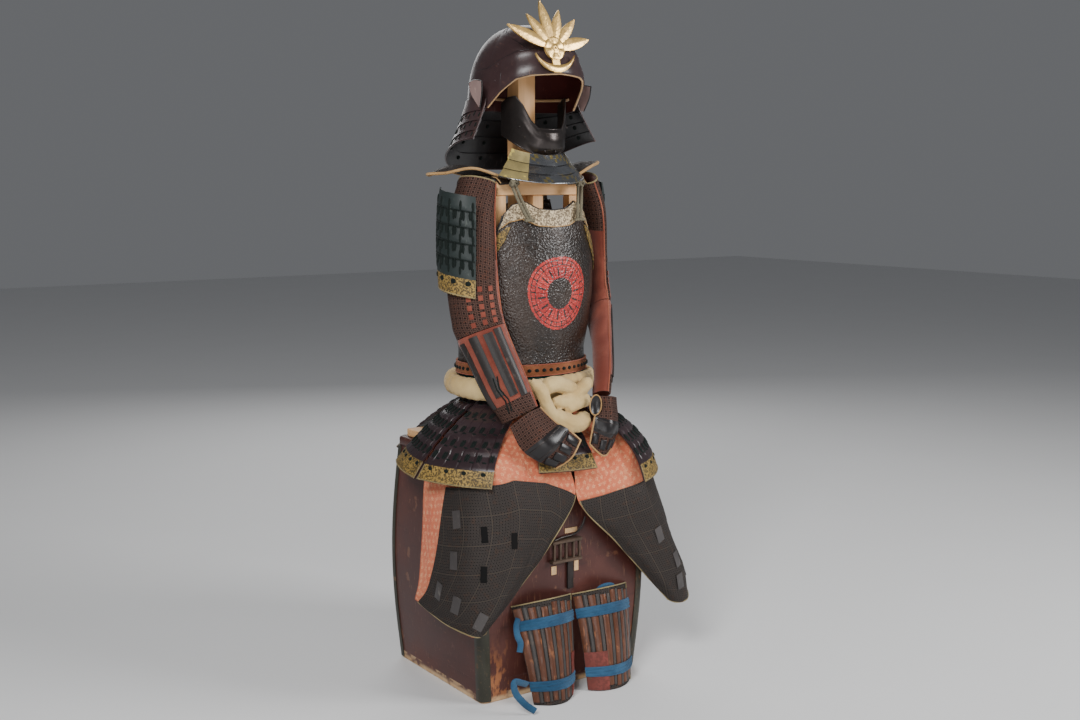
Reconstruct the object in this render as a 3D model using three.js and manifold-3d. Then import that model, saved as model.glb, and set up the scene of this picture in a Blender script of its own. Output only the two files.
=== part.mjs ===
// A set of old Japanese armour on a plain wooden stand, seated on its lidded storage chest.
// Millimetres, +Z up. The armour faces -Y, and "right" and "left" are the wearer's own: right is -X.
// The origin is the middle of the chest's underside, which stands on the floor.
import * as THREE from 'three';
import { mergeVertices } from 'three/addons/utils/BufferGeometryUtils.js';
import Module from 'manifold-3d';

const wasm = await Module();
wasm.setup();

// Driving dimensions
const SEAM = 0.35;
const CHEST = {
  halfX: 210, halfY: 183, centreY: 8, height: 518, bulge: 14, wall: 12, corner: 14, floor: 14,
};
const LID = { low: 518.3, high: 538, halfX: 214, halfY: 182, centreY: 3 };
const STAND = { board: 18, post: 45, postY: -18, railHalf: 108, railLow: 1094, railHigh: 1126 };
const CUIRASS = { centreY: -15, wall: 3, hem: 700 };
const SKIRT = { top: 647, inset: -3.5 };
const SASH = { centreZ: 675, halfTall: 24, halfDeep: 17, halfX: 164, halfY: 138 };
const HELMET = { centreY: -30, halfX: 118, halfY: 132, top: 1458, wall: 3 };

// Materials, one for each finish
const finishes = {
  lacquer: [0x3a2622, 0.45, 0.0],
  iron: [0x2b2a2a, 0.45, 0.6],
  leather: [0x1f1b19, 0.5, 0.0],
  printed: [0xa8904e, 0.7, 0.0],
  mail: [0x2e2724, 0.8, 0.2],
  rust: [0x8a4636, 0.9, 0.0],
  brocade: [0xc8785a, 0.9, 0.0],
  cream: [0xcdb98a, 0.9, 0.0],
  gilt: [0xc9a85a, 0.35, 0.8],
  wood: [0xd9a86c, 0.6, 0.0],
  chest: [0x4a2a25, 0.5, 0.0],
  indigo: [0x2f5f86, 0.9, 0.0],
  cord: [0x6b6550, 0.9, 0.0],
  splint: [0x6e4a30, 0.5, 0.1],
};
const materials = Object.fromEntries(
  Object.entries(finishes).map(([name, [color, roughness, metalness]]) => [
    name,
    new THREE.MeshStandardMaterial({ name, color, roughness, metalness }),
  ]),
);

const armour = new THREE.Group();

function add(name, finish, geometry) {
  const mesh = new THREE.Mesh(geometry, materials[finish]);
  mesh.name = name;
  armour.add(mesh);
  return mesh;
}

// Small maths
const point = (x, y, z) => new THREE.Vector3(x, y, z);
const radians = (degrees) => (degrees * Math.PI) / 180;
const mix = (a, b, t) => a + (b - a) * t;
const clamp = (value, low, high) => Math.min(high, Math.max(low, value));
const smooth = (low, high, value) => {
  const t = clamp((value - low) / (high - low), 0, 1);
  return t * t * (3 - 2 * t);
};
const steps = (count) => Array.from({ length: count + 1 }, (_, i) => i / count);
const hump = (value, centre, width) => Math.exp(-(((value - centre) / width) ** 2));

// One smooth curve through the values, with t running from 0 to 1.
function through(values, t) {
  const last = values.length - 1;
  const place = clamp(t, 0, 1) * last;
  const i = Math.min(Math.floor(place), last - 1);
  const f = place - i;
  const before = i > 0 ? values[i - 1] : 2 * values[0] - values[1];
  const after = i + 2 <= last ? values[i + 2] : 2 * values[last] - values[last - 1];
  const [a, b] = [values[i], values[i + 1]];
  const slope = (after - a) / 2;
  const start = (b - before) / 2;
  return (
    a + f * (start + f * (3 * (b - a) - 2 * start - slope + f * (2 * (a - b) + start + slope)))
  );
}

// Reads a table of [key, value] rows with straight lines between them.
function lookup(table, key) {
  if (key <= table[0][0]) return table[0][1];
  for (let i = 1; i < table.length; i++) {
    const [lowKey, lowValue] = table[i - 1];
    const [highKey, highValue] = table[i];
    if (key <= highKey) return mix(lowValue, highValue, (key - lowKey) / (highKey - lowKey));
  }
  return table[table.length - 1][1];
}

// A smooth surface over rows of [x, y, z] control points.
function patch(rows) {
  return (u, w) => {
    const across = rows.map((row) => [0, 1, 2].map((k) => through(row.map((p) => p[k]), w)));
    return point(...[0, 1, 2].map((k) => through(across.map((p) => p[k]), u)));
  };
}

function signedVolume(positions, index) {
  let sum = 0;
  const corner = (n) => point(...positions.slice(index[n] * 3, index[n] * 3 + 3));
  for (let n = 0; n < index.length; n += 3) {
    sum += corner(n).dot(corner(n + 1).cross(corner(n + 2)));
  }
  return sum;
}

function closedGeometry(points, index) {
  const positions = points.flatMap((p) => [p.x, p.y, p.z]);
  if (signedVolume(positions, index) < 0) {
    for (let n = 0; n < index.length; n += 3) {
      [index[n + 1], index[n + 2]] = [index[n + 2], index[n + 1]];
    }
  }
  const geometry = new THREE.BufferGeometry();
  geometry.setAttribute('position', new THREE.Float32BufferAttribute(positions, 3));
  geometry.setIndex(index);
  geometry.computeVertexNormals();
  return geometry;
}

// A wall between a grid of inner points and a grid of outer points.
// ring joins the last column to the first, and pole draws the first row together to one point.
function shell(inner, outer, { ring = false, pole = false } = {}) {
  const rows = inner.length;
  const columns = inner[0].length;
  const points = [...inner.flat(), ...outer.flat()];
  const at = (side, i, j) =>
    side * rows * columns + i * columns + (pole && i === 0 ? 0 : j % columns);
  const index = [];
  const quad = (a, b, c, d) => index.push(a, b, c, a, c, d);
  const spans = ring ? columns : columns - 1;
  for (let j = 0; j < spans; j++) {
    for (let i = 0; i < rows - 1; i++) {
      if (pole && i === 0) {
        index.push(at(1, 0, 0), at(1, 1, j), at(1, 1, j + 1));
        index.push(at(0, 0, 0), at(0, 1, j + 1), at(0, 1, j));
        continue;
      }
      quad(at(1, i, j), at(1, i + 1, j), at(1, i + 1, j + 1), at(1, i, j + 1));
      quad(at(0, i, j), at(0, i, j + 1), at(0, i + 1, j + 1), at(0, i + 1, j));
    }
    if (!pole) quad(at(0, 0, j), at(1, 0, j), at(1, 0, j + 1), at(0, 0, j + 1));
    quad(at(0, rows - 1, j), at(0, rows - 1, j + 1), at(1, rows - 1, j + 1), at(1, rows - 1, j));
  }
  if (!ring) {
    const last = columns - 1;
    for (let i = 0; i < rows - 1; i++) {
      quad(at(0, i, 0), at(0, i + 1, 0), at(1, i + 1, 0), at(1, i, 0));
      quad(at(0, i, last), at(1, i, last), at(1, i + 1, last), at(0, i + 1, last));
    }
  }
  return closedGeometry(points, index);
}

// The unit normal of a surface. side is 1 where u runs down and w runs leftwards round the outside.
function normalOf(surface, u, w, side) {
  const h = 0.004;
  const along = surface(Math.min(u + h, 1), w).sub(surface(Math.max(u - h, 0), w));
  const across = surface(u, Math.min(w + h, 1)).sub(surface(u, Math.max(w - h, 0)));
  return along.cross(across).normalize().multiplyScalar(side);
}

// A wall built on a surface: plain inside, with lift and relief added outwards.
function wall(surface, us, ws, { thick, lift = 0, side = 1, relief = () => 0, ring, pole }) {
  const columns = ring ? ws.slice(0, -1) : ws;
  const moved = (distance) =>
    us.map((u) =>
      columns.map((w) => {
        const normal = normalOf(surface, u, w, side);
        return surface(u, w).addScaledVector(normal, distance(u, w));
      }),
    );
  const inner = moved(() => lift);
  const outer = moved((u, w) => lift + thick + relief(u, w));
  return shell(inner, outer, { ring, pole });
}

// Rows for lames that overlap like roof tiles: each swells from its top to its lower edge.
function lameRows(count, from = 0, to = 1) {
  const gap = 0.012 * (to - from);
  const rows = [];
  for (let i = 0; i < count; i++) {
    const top = mix(from, to, i / count);
    const low = mix(from, to, (i + 1) / count);
    rows.push(i ? top + gap : top, low);
  }
  return rows;
}

function lameRelief(count, swell, from = 0, to = 1) {
  return (u) => {
    const place = clamp((u - from) / (to - from), 0, 1) * count;
    const part = place - Math.floor(Math.min(place, count - 1e-6));
    return swell * (part < 0.015 ? 0 : part);
  };
}

// A solid between closed outlines that are stacked one above the other.
function loft(outlines) {
  const count = outlines[0].length;
  const middle = (outline) =>
    outline.reduce((sum, p) => sum.add(p), point(0, 0, 0)).divideScalar(count);
  const points = [...outlines.flat(), middle(outlines[0]), middle(outlines.at(-1))];
  const index = [];
  for (let j = 0; j < count; j++) {
    const next = (j + 1) % count;
    for (let i = 0; i < outlines.length - 1; i++) {
      const [a, b] = [i * count + j, i * count + next];
      const [c, d] = [a + count, b + count];
      index.push(a, b, d, a, d, c);
    }
    const lastRow = (outlines.length - 1) * count;
    index.push(points.length - 2, next, j);
    index.push(points.length - 1, lastRow + j, lastRow + next);
  }
  return closedGeometry(points, index);
}

// A round bar along a smooth line through the given points. It is closed at both ends.
function bar(path, radius, sides = 8, count = 8) {
  const line = new THREE.CatmullRomCurve3(path.map((p) => point(...p)));
  const section = new THREE.Shape();
  section.absarc(0, 0, radius, 0, 2 * Math.PI, false);
  const settings = { steps: count, bevelEnabled: false, curveSegments: sides / 2, extrudePath: line };
  return new THREE.ExtrudeGeometry(section, settings);
}

// Joining and cutting
function solid(geometry) {
  const bare = (geometry.index ? geometry.toNonIndexed() : geometry.clone());
  bare.deleteAttribute('normal');
  bare.deleteAttribute('uv');
  const merged = mergeVertices(bare, 1e-3);
  return new wasm.Manifold(
    new wasm.Mesh({
      numProp: 3,
      vertProperties: new Float32Array(merged.attributes.position.array),
      triVerts: new Uint32Array(merged.index.array),
    }),
  );
}

function geometryOf(shape) {
  const mesh = shape.getMesh();
  const geometry = new THREE.BufferGeometry();
  const positions = new Float32Array(mesh.numVert * 3);
  for (let i = 0; i < mesh.numVert; i++) {
    positions.set(mesh.vertProperties.subarray(i * mesh.numProp, i * mesh.numProp + 3), i * 3);
  }
  geometry.setAttribute('position', new THREE.BufferAttribute(positions, 3));
  geometry.setIndex(new THREE.BufferAttribute(mesh.triVerts, 1));
  geometry.computeVertexNormals();
  return geometry;
}

const joined = (...parts) => geometryOf(parts.map(solid).reduce((sum, part) => sum.add(part)));

function block(lowX, highX, lowY, highY, lowZ, highZ) {
  const box = new THREE.BoxGeometry(highX - lowX, highY - lowY, highZ - lowZ);
  return box.translate((lowX + highX) / 2, (lowY + highY) / 2, (lowZ + highZ) / 2);
}

// Storage chest: four swelling sides, a flat floor and a thin lid
function chestSwell(z) {
  return CHEST.bulge * Math.sin((Math.PI * clamp(z, 0, CHEST.height)) / CHEST.height);
}

function roundedOutline(halfX, halfY, centreY, radius, z) {
  const outline = [];
  for (const [signX, signY, start] of [[1, 1, 0], [-1, 1, 90], [-1, -1, 180], [1, -1, 270]]) {
    for (const turn of [0, 30, 60, 90]) {
      const angle = radians(start + turn);
      const x = signX * (halfX - radius) + radius * Math.cos(angle);
      const y = centreY + signY * (halfY - radius) + radius * Math.sin(angle);
      outline.push(point(x, y, z));
    }
  }
  return outline;
}

function chestOutline(z, inset) {
  const swell = chestSwell(z) - inset;
  const radius = CHEST.corner - inset * 0.6;
  return roundedOutline(CHEST.halfX + swell, CHEST.halfY + swell, CHEST.centreY, radius, z);
}

const chestHeights = steps(6).map((t) => t * CHEST.height);
const chestOuter = loft(chestHeights.map((z) => chestOutline(z, 0)));
const hollowHeights = [CHEST.floor, ...chestHeights.slice(1, -1), CHEST.height + 4];
const chestInner = loft(hollowHeights.map((z) => chestOutline(z, CHEST.wall)));
add('chest_body', 'chest', geometryOf(solid(chestOuter).subtract(solid(chestInner))));

const lidRows = [[LID.low, 2], [LID.low + 4, 0], [LID.high - 5, 0], [LID.high, 4]];
const lidOutlines = lidRows.map(([z, inset]) =>
  roundedOutline(LID.halfX - inset, LID.halfY - inset, LID.centreY, 16, z),
);
add('chest_lid', 'chest', loft(lidOutlines));

// The iron lock is a barred frame on the front, with a hasp strap hanging below the lid.
const frontAt = (z) => CHEST.centreY - CHEST.halfY - chestSwell(z) - SEAM;
const lockFace = frontAt(259) - 0.1;
const lockBars = [-40, -24, -8, 12, 28].map((x) =>
  block(x, x + 5, lockFace - 14, lockFace - 6, 296, 342),
);
const lockRails = [[292, 300], [336, 344]].map(([low, high]) =>
  block(-44, 36, lockFace - 16, lockFace, low, high),
);
add('chest_lock', 'iron', joined(...lockRails, ...lockBars));
add('chest_hasp', 'iron', block(3, 19, lockFace - 6, lockFace, 227, 291.5));

// Wooden stand: board, post, front frame, shoulder rail and head block, glued as one
const boardTop = LID.high + SEAM + STAND.board;
const halfPost = STAND.post / 2;
const standParts = [
  block(-200, 200, -150, 162, LID.high + SEAM, boardTop),
  block(-halfPost, halfPost, STAND.postY - halfPost, STAND.postY + halfPost, boardTop - 1, 1380),
  block(-STAND.railHalf, STAND.railHalf, -86, -58, STAND.railLow, STAND.railHigh),
  block(-110, 110, -84, -60, 770, 796),
  ...[[-110, -84], [-14, 14], [84, 110]].map(([low, high]) =>
    block(low, high, -84, -60, 795, STAND.railLow + 1),
  ),
  ...[[772, 794], [1096, 1124]].map(([low, high]) => block(-20, 20, -61, -40, low, high)),
  block(-60, 60, -74, 30, 1378, 1417),
];
add('stand', 'wood', joined(...standParts));

// Cuirass: half-axes of the body at each height
const bodyTable = [
  { z: 655, halfX: 132, front: 106, back: 98 },
  { z: 700, halfX: 150, front: 124, back: 112 },
  { z: 752, halfX: 148, front: 124, back: 110 },
  { z: 815, halfX: 160, front: 134, back: 116 },
  { z: 880, halfX: 168, front: 139, back: 119 },
  { z: 950, halfX: 170, front: 138, back: 120 },
  { z: 1010, halfX: 163, front: 131, back: 117 },
  { z: 1090, halfX: 146, front: 118, back: 108 },
];
const bodyAt = (column, z) => lookup(bodyTable.map((row) => [row.z, row[column]]), z);

// A point on the body's outline. The angle is 0 at the front middle and 180 at the back.
function onBody(z, degrees, grow = 0) {
  const angle = radians(degrees);
  const depth = bodyAt(Math.cos(angle) > 0 ? 'front' : 'back', z) + grow;
  const x = (bodyAt('halfX', z) + grow) * Math.sin(angle);
  return point(x, CUIRASS.centreY - depth * Math.cos(angle), z);
}

const frontReach = [[0, 89.8], [905, 89.8], [950, 68], [1000, 52], [1040, 45], [1090, 41]];
const frontTop = [[0, 1062], [0.3, 1065], [0.62, 1081], [0.84, 1074], [1, 1048]];
const backReach = [[0, 89.6], [905, 89.6], [950, 72], [1000, 60], [1090, 56]];

function frontPlate(u, w) {
  const across = 2 * w - 1;
  const z = mix(lookup(frontTop, Math.abs(across)), CUIRASS.hem, u);
  return onBody(z, across * lookup(frontReach, z));
}

function backPlate(u, w) {
  const across = 2 * w - 1;
  const z = mix(1082 - 10 * (1 - across * across), CUIRASS.hem, u);
  return onBody(z, 180 + across * lookup(backReach, z));
}

const cuirassRows = [0, 0.06, 0.13, 0.22, 0.31, 0.4, 0.54, 0.7, 0.85, 1];
const cuirassColumns = steps(18);
add('cuirass_front', 'leather', wall(frontPlate, cuirassRows, cuirassColumns, { thick: CUIRASS.wall }));
add('cuirass_back', 'leather', wall(backPlate, [0, 0.12, 0.26, 0.4, 0.55, 0.7, 0.85, 1], steps(14), { thick: CUIRASS.wall }));

// Printed leather band across the chest, and the strips beside the armholes
const bandOver = { thick: 2, lift: CUIRASS.wall + 0.6 };
const bandColumns = [0.02, ...cuirassColumns.slice(1, -1), 0.98];
add('chest_band', 'printed', wall(frontPlate, [0.004, 0.06, 0.1], bandColumns, bandOver));
const stripColumns = {
  right: [0.012, ...cuirassColumns.slice(1, 3)],
  left: [...cuirassColumns.slice(-3, -1), 0.988],
};
for (const [side, columns] of Object.entries(stripColumns)) {
  const over = { thick: 2, lift: CUIRASS.wall + 1.4 };
  add(`armhole_strip_${side}`, 'printed', wall(frontPlate, [0.13, 0.22, 0.31, 0.4], columns, over));
}

// Waist band, and the laces that carry the tassets
const ringAt = (low, high, growLow, growHigh) => (u, w) =>
  onBody(mix(high, low, u), 360 * w, mix(growHigh, growLow, u));
add('waist_band', 'rust', wall(ringAt(702, 728, 4.4, 4.4), [0, 0.5, 1], steps(32), {
  thick: 3,
  ring: true,
  relief: (u) => 1.6 * hump(u, 0.5, 0.3),
}));
add('waist_laces', 'mail', wall(ringAt(649.8, 699.5, -5, -2.8), [0, 1], steps(48), {
  thick: 3,
  ring: true,
  relief: (u, w) => (Math.round(w * 48) % 2 ? 1.6 : 0),
}));

// Padded sash: a full ring round the waist, and a knot of rolls in front
function sashRing() {
  const around = 32;
  const sides = 8;
  const rows = [];
  for (let i = 0; i < around; i++) {
    const turn = (2 * Math.PI * i) / around;
    const swell = 1 + 0.05 * Math.sin(5 * turn);
    const row = [];
    for (let j = 0; j < sides; j++) {
      const angle = (2 * Math.PI * j) / sides;
      const out = SASH.halfDeep * swell * Math.cos(angle);
      row.push(point(
        (SASH.halfX + out) * Math.sin(turn),
        CUIRASS.centreY - (SASH.halfY + out) * Math.cos(turn),
        SASH.centreZ + SASH.halfTall * swell * Math.sin(angle) + 2 * Math.sin(2 * turn),
      ));
    }
    rows.push(row);
  }
  const index = [];
  for (let i = 0; i < around; i++) {
    for (let j = 0; j < sides; j++) {
      const [a, b] = [i * sides + j, i * sides + ((j + 1) % sides)];
      const next = ((i + 1) % around) * sides;
      const [c, d] = [next + j, next + ((j + 1) % sides)];
      index.push(a, b, d, a, d, c);
    }
  }
  return closedGeometry(rows.flat(), index);
}
const sash = sashRing();
add('sash', 'cream', sash);

const sashRolls = [
  { radius: 14, path: [[-84, -178, 700], [-66, -189, 680], [-49, -197, 636], [-23, -209, 600], [10, -208, 590]] },
  { radius: 18, path: [[-56, -184, 684], [-21, -189, 689], [30, -185, 668]] },
  { radius: 15, path: [[-34, -190, 652], [2, -194, 650], [42, -190, 672], [72, -179, 690]] },
  { radius: 20, path: [[-46, -198, 628], [-13, -203, 608], [24, -203, 600], [52, -198, 616]] },
  { radius: 16, path: [[-8, -194, 634], [25, -198, 646], [62, -186, 648]] },
];
const knotRolls = sashRolls.map(({ radius, path }) => solid(bar(path, radius, 8, 5)));
const knot = knotRolls.reduce((sum, roll) => sum.add(roll));
const sashRoom = solid(sash).translate(0, -SEAM, 0).add(solid(sash));
add('sash_knot', 'cream', geometryOf(knot.subtract(sashRoom)));

// Tassets: a skirt of seven hanging panels, each of five lames and a printed leather foot.
// from and to are the angles that the top edge covers below the laces.
function tasset({ from, to, lowFrom, lowTo, bow, belly }) {
  const [c, d] = [point(...lowFrom), point(...lowTo)];
  const out = d.clone().sub(c).cross(point(0, 0, 1)).normalize();
  return (u, w) => {
    const top = onBody(SKIRT.top, mix(from, to, w), SKIRT.inset);
    const low = c.clone().lerp(d, w).addScaledVector(out, bow * (1 - (2 * w - 1) ** 2));
    return top.lerp(low, u).addScaledVector(out, belly * Math.sin(Math.PI * u ** 0.9));
  };
}
const tassets = {
  front: { from: -19, to: 20, lowFrom: [-100, -230, 508], lowTo: [50, -236, 502], bow: 7, belly: 9 },
  front_right: {
    from: -72, to: -23, lowFrom: [-302, -68, 492], lowTo: [-216, -228, 488], bow: 14, belly: 40,
  },
  front_left: {
    from: 24, to: 70, lowFrom: [166, -258, 460], lowTo: [284, -154, 466], bow: 12, belly: 48,
  },
  right: { from: -120, to: -76, lowFrom: [-262, 96, 498], lowTo: [-288, -30, 484], bow: 10, belly: 18 },
  left: { from: 74, to: 120, lowFrom: [286, -92, 486], lowTo: [266, 60, 490], bow: 10, belly: 18 },
  back_right: {
    from: 184, to: 236, lowFrom: [-14, 224, 500], lowTo: [-196, 218, 500], bow: 8, belly: 24,
  },
  back_left: {
    from: 124, to: 176, lowFrom: [196, 218, 500], lowTo: [14, 224, 500], bow: 8, belly: 24,
  },
};
const tassetRows = [...lameRows(5, 0, 0.78), 0.795, 0.82, 1];
const tassetLames = lameRelief(5, 3.2, 0, 0.78);
const tassetRelief = (u) => (u > 0.79 ? 2.6 : tassetLames(u));
for (const [name, corners] of Object.entries(tassets)) {
  const panel = wall(tasset(corners), tassetRows, steps(4), { thick: 2.2, relief: tassetRelief });
  add(`tasset_${name}`, 'lacquer', panel);
}

// Thigh guards: brocade cloth that falls over the edge of the lid, faced with mail
const thighCloth = {
  right: [
    [[-4, -136, 614], [-58, -132, 614], [-106, -102, 614], [-138, -48, 614], [-142, 24, 612]],
    [[-3, -186, 558], [-90, -190, 556], [-180, -190, 549.6], [-222, -128, 549.6], [-224, 10, 549.6]],
    [[0, -206, 500], [-88, -214, 490], [-184, -222, 480], [-250, -160, 476], [-258, -20, 474]],
    [[5, -214, 436], [-80, -228, 420], [-180, -240, 405], [-264, -184, 398], [-272, -36, 392]],
    [[-65, -216, 345], [-122, -232, 325], [-205, -248, 308], [-278, -192, 300], [-284, -44, 302]],
    [[-145, -217, 266], [-186, -234, 244], [-238, -244, 230], [-286, -180, 235], [-290, -45, 252]],
    [[-226, -218, 192], [-248, -228, 180], [-270, -222, 181], [-290, -150, 196], [-292, -32, 216]],
  ],
  left: [
    [[4, -136, 614], [58, -132, 614], [106, -102, 614], [138, -48, 614], [142, 24, 612]],
    [[5, -186, 558], [90, -190, 556], [180, -190, 549.6], [222, -128, 549.6], [224, 10, 549.6]],
    [[10, -206, 500], [90, -214, 490], [184, -222, 482], [250, -150, 478], [258, -20, 474]],
    [[22, -214, 420], [100, -236, 408], [190, -246, 408], [266, -180, 404], [276, -60, 398]],
    [[112, -218, 330], [170, -240, 318], [242, -238, 322], [288, -190, 324], [300, -90, 326]],
    [[200, -220, 238], [240, -240, 226], [296, -234, 230], [326, -190, 240], [330, -120, 254]],
    [[274, -222, 162], [294, -234, 152], [324, -226, 152], [348, -192, 164], [352, -146, 182]],
  ],
};
const thighRows = [0, 0.09, 0.18, 0.26, 0.34, 0.42, 0.5, 0.62, 0.74, 0.87, 1];
const thighColumns = steps(11);
const mailForms = {
  right: { top: [[0, 0.48], [0.5, 0.36], [1, 0.36]], reach: 0.84 },
  left: { top: [[0, 0.48], [0.5, 0.41], [1, 0.37]], reach: 0.97 },
};
for (const side of ['right', 'left']) {
  const facing = side === 'right' ? -1 : 1;
  const cloth = patch(thighCloth[side]);
  const folded = (u, w) => {
    const above = 1 - smooth(0.3, 0.5, u);
    const ripple = 2.2 * Math.sin(9 * w + 5 * u) * above;
    return cloth(u, w).add(point(0, 0, Math.max(ripple, -1.5)));
  };
  add(`thigh_cloth_${side}`, 'brocade', wall(folded, thighRows, thighColumns, { thick: 2, side: facing }));
  const form = mailForms[side];
  const mail = (u, w) => {
    const top = lookup(form.top, w);
    const rows = [[0, top], [0.1, Math.max(0.42, top + 0.008)], [0.2, 0.5], [0.4, 0.62]];
    return folded(lookup([...rows, [0.6, 0.74], [0.8, 0.87], [1, 0.992]], u), w);
  };
  const mailColumns = [0.008, ...thighColumns.slice(1).filter((w) => w < form.reach - 0.02), form.reach];
  const over = { thick: 2.4, lift: 3.2, side: facing };
  add(`thigh_mail_${side}`, 'mail', wall(mail, [0, 0.1, 0.2, 0.4, 0.6, 0.8, 1], mailColumns, over));
}

// Sleeves: flattened cloth tubes with a wall of cloth and mail, open at the shoulder and wrist
function sleeve(stations, wideAxis) {
  const column = (key, u) => through(stations.map((s) => s[key]), u);
  const centre = (u) => point(column('x', u), column('y', u), column('z', u));
  const wide = point(...wideAxis);
  return (u, w) => {
    const tangent = centre(Math.min(u + 0.01, 1)).sub(centre(Math.max(u - 0.01, 0))).normalize();
    const across = wide.clone().addScaledVector(tangent, -wide.dot(tangent)).normalize();
    const outward = tangent.clone().cross(across);
    const angle = 2 * Math.PI * w;
    return centre(u)
      .addScaledVector(across, column('wide', u) * Math.cos(angle))
      .addScaledVector(outward, column('deep', u) * Math.sin(angle));
  };
}
const sleeveStations = {
  right: [
    { x: -150.5, y: -74, z: 1124, wide: 38, deep: 26 },
    { x: -176, y: -92, z: 1050, wide: 47, deep: 32 },
    { x: -186, y: -106, z: 965, wide: 50, deep: 33 },
    { x: -188, y: -114, z: 885, wide: 53, deep: 33 },
    { x: -183, y: -128, z: 820, wide: 52, deep: 32 },
    { x: -168, y: -154, z: 756, wide: 49, deep: 29 },
    { x: -150, y: -180, z: 692, wide: 47, deep: 26 },
    { x: -128, y: -200, z: 634, wide: 40, deep: 21 },
  ],
  left: [
    { x: 143, y: -60, z: 1132, wide: 40, deep: 22 },
    { x: 178, y: -46, z: 1060, wide: 44, deep: 20 },
    { x: 195, y: -34, z: 970, wide: 42, deep: 16 },
    { x: 197, y: -36, z: 895, wide: 42, deep: 17 },
    { x: 186, y: -60, z: 840, wide: 38, deep: 18 },
    { x: 152, y: -118, z: 770, wide: 27, deep: 18 },
    { x: 117, y: -170, z: 705, wide: 24, deep: 17 },
    { x: 96, y: -192, z: 656, wide: 24, deep: 15 },
  ],
};
const sleeveAxis = { right: [0.86, -0.5, 0.1], left: [0.1, 1, 0] };
const elbow = { right: 0.6, left: 0.585 };
const tubeColumns = steps(14);
const armSplints = 7;
const splintColumns = [];
for (let n = 0; n < armSplints; n++) {
  splintColumns.push(n / armSplints, (n + 0.1) / armSplints, (n + 0.54) / armSplints);
  splintColumns.push((n + 0.64) / armSplints);
}
splintColumns.push(1);
function onSplint(w) {
  const part = (w * armSplints) % 1;
  return part > 0.05 && part < 0.6 ? 2.4 : 0;
}
for (const side of ['right', 'left']) {
  const arm = sleeve(sleeveStations[side], sleeveAxis[side]);
  const fold = (u, w) => 2 * hump(u, elbow[side] - 0.04, 0.02) + 1.5 * hump(u, 0.33, 0.015);
  const upper = (u, w) => arm(mix(0, elbow[side] - 0.003, u), w);
  const lower = (u, w) => arm(mix(elbow[side], 1, u), w);
  const upperRows = [0, 0.17, 0.34, 0.5, 0.56, 0.62, 0.78, 0.94, 1];
  add(`sleeve_upper_${side}`, 'mail', wall(upper, upperRows, tubeColumns, {
    thick: 2.4, side: -1, ring: true, relief: (u, w) => fold(u * elbow[side], w),
  }));
  const splintRelief = (u, w) => (u > 0.1 && u < 0.9 ? onSplint(w) : 0);
  add(`sleeve_lower_${side}`, 'rust', wall(lower, [0, 0.09, 0.11, 0.5, 0.88, 0.9, 1], splintColumns, {
    thick: 2.2, side: -1, ring: true, relief: splintRelief,
  }));
}

// Hand guards: a shaped plate over the back of each hand, and the left thumb plate
const handPlates = {
  right: [
    [[-161, -212, 614], [-130, -229, 641], [-90, -220, 649]],
    [[-140, -224, 566], [-112, -248, 596], [-62, -238, 616]],
    [[-106, -238, 538], [-82, -260, 566], [-38, -250, 600]],
    [[-66, -246, 520], [-38, -262, 542], [-8, -254, 574]],
  ],
  left: [
    [[74, -206, 656], [98, -220, 655], [126, -205, 648]],
    [[56, -222, 622], [88, -240, 614], [120, -218, 604]],
    [[46, -226, 590], [76, -244, 574], [112, -224, 570]],
    [[38, -226, 556], [64, -240, 530], [96, -224, 540]],
  ],
};
for (const side of ['right', 'left']) {
  const plate = patch(handPlates[side]);
  const knuckle = (u, w) => 2.5 * hump(u, 0.66, 0.1) * hump(w, 0.5, 0.35);
  const form = { thick: 2.4, relief: knuckle };
  add(`hand_guard_${side}`, 'iron', wall(plate, steps(7), steps(6), form));
}

// Shoulder straps, their small padded wings and the cords that fasten the front plate
const strap = { halfWidth: 25, lift: SEAM, thick: 5, turns: [27, 39, 53] };
function strapAt(sign) {
  const behind = [1064, 1090].map((z) =>
    strap.turns.map((turn) => onBody(z, 180 - sign * turn, CUIRASS.wall + 1).toArray()),
  );
  const over = [[93, 58, 1121], [93, 28, 1127.3], [93, -40, 1127.3], [91, -86, 1127.3], [90, -106, 1116]];
  const across = ([x, y, z]) => [-1, 0, 1].map((k) => [
    sign * (x + k * strap.halfWidth), y, z + (k ? 0 : 1.5),
  ]);
  return patch([...behind, ...over.map(across)]);
}
const wings = {
  right: [
    [[-104, -84, 1134.6], [-165, -78, 1150], [-212, -46, 1140]],
    [[-104, -22, 1134.6], [-172, -22, 1156], [-236, -14, 1138]],
    [[-104, 40, 1134.6], [-165, 44, 1146], [-206, 34, 1136]],
  ],
  left: [
    [[104, -84, 1134.6], [150, -78, 1156], [184, -58, 1164]],
    [[104, -22, 1134.6], [156, -22, 1164], [206, -22, 1166]],
    [[104, 40, 1134.6], [150, 44, 1150], [190, 34, 1154]],
  ],
};
for (const [side, sign] of [['right', -1], ['left', 1]]) {
  add(`shoulder_strap_${side}`, 'leather', wall(strapAt(sign), steps(8), steps(4), {
    thick: strap.thick, side: sign, lift: strap.lift,
  }));
  add(`shoulder_wing_${side}`, 'mail', wall(patch(wings[side]), steps(5), steps(5), { thick: 4, side: -sign }));
  const strands = [-5, 5].map((shift) =>
    bar([
      [sign * 88 + shift, -119, 1116],
      [sign * 78 + shift, -132, 1080],
      [sign * 66 + shift * 0.8, -147, 1044],
    ], 3.4, 6, 5),
  );
  const ball = new THREE.SphereGeometry(1, 10, 6);
  const toggle = ball.clone().scale(11, 6, 7).translate(sign * 66, -148, 1042);
  const knotBall = ball.clone().scale(12, 8, 9).translate(sign * 88, -119, 1120.6);
  add(`fastening_cord_${side}`, 'cord', joined(...strands, toggle, knotBall));
}

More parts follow.
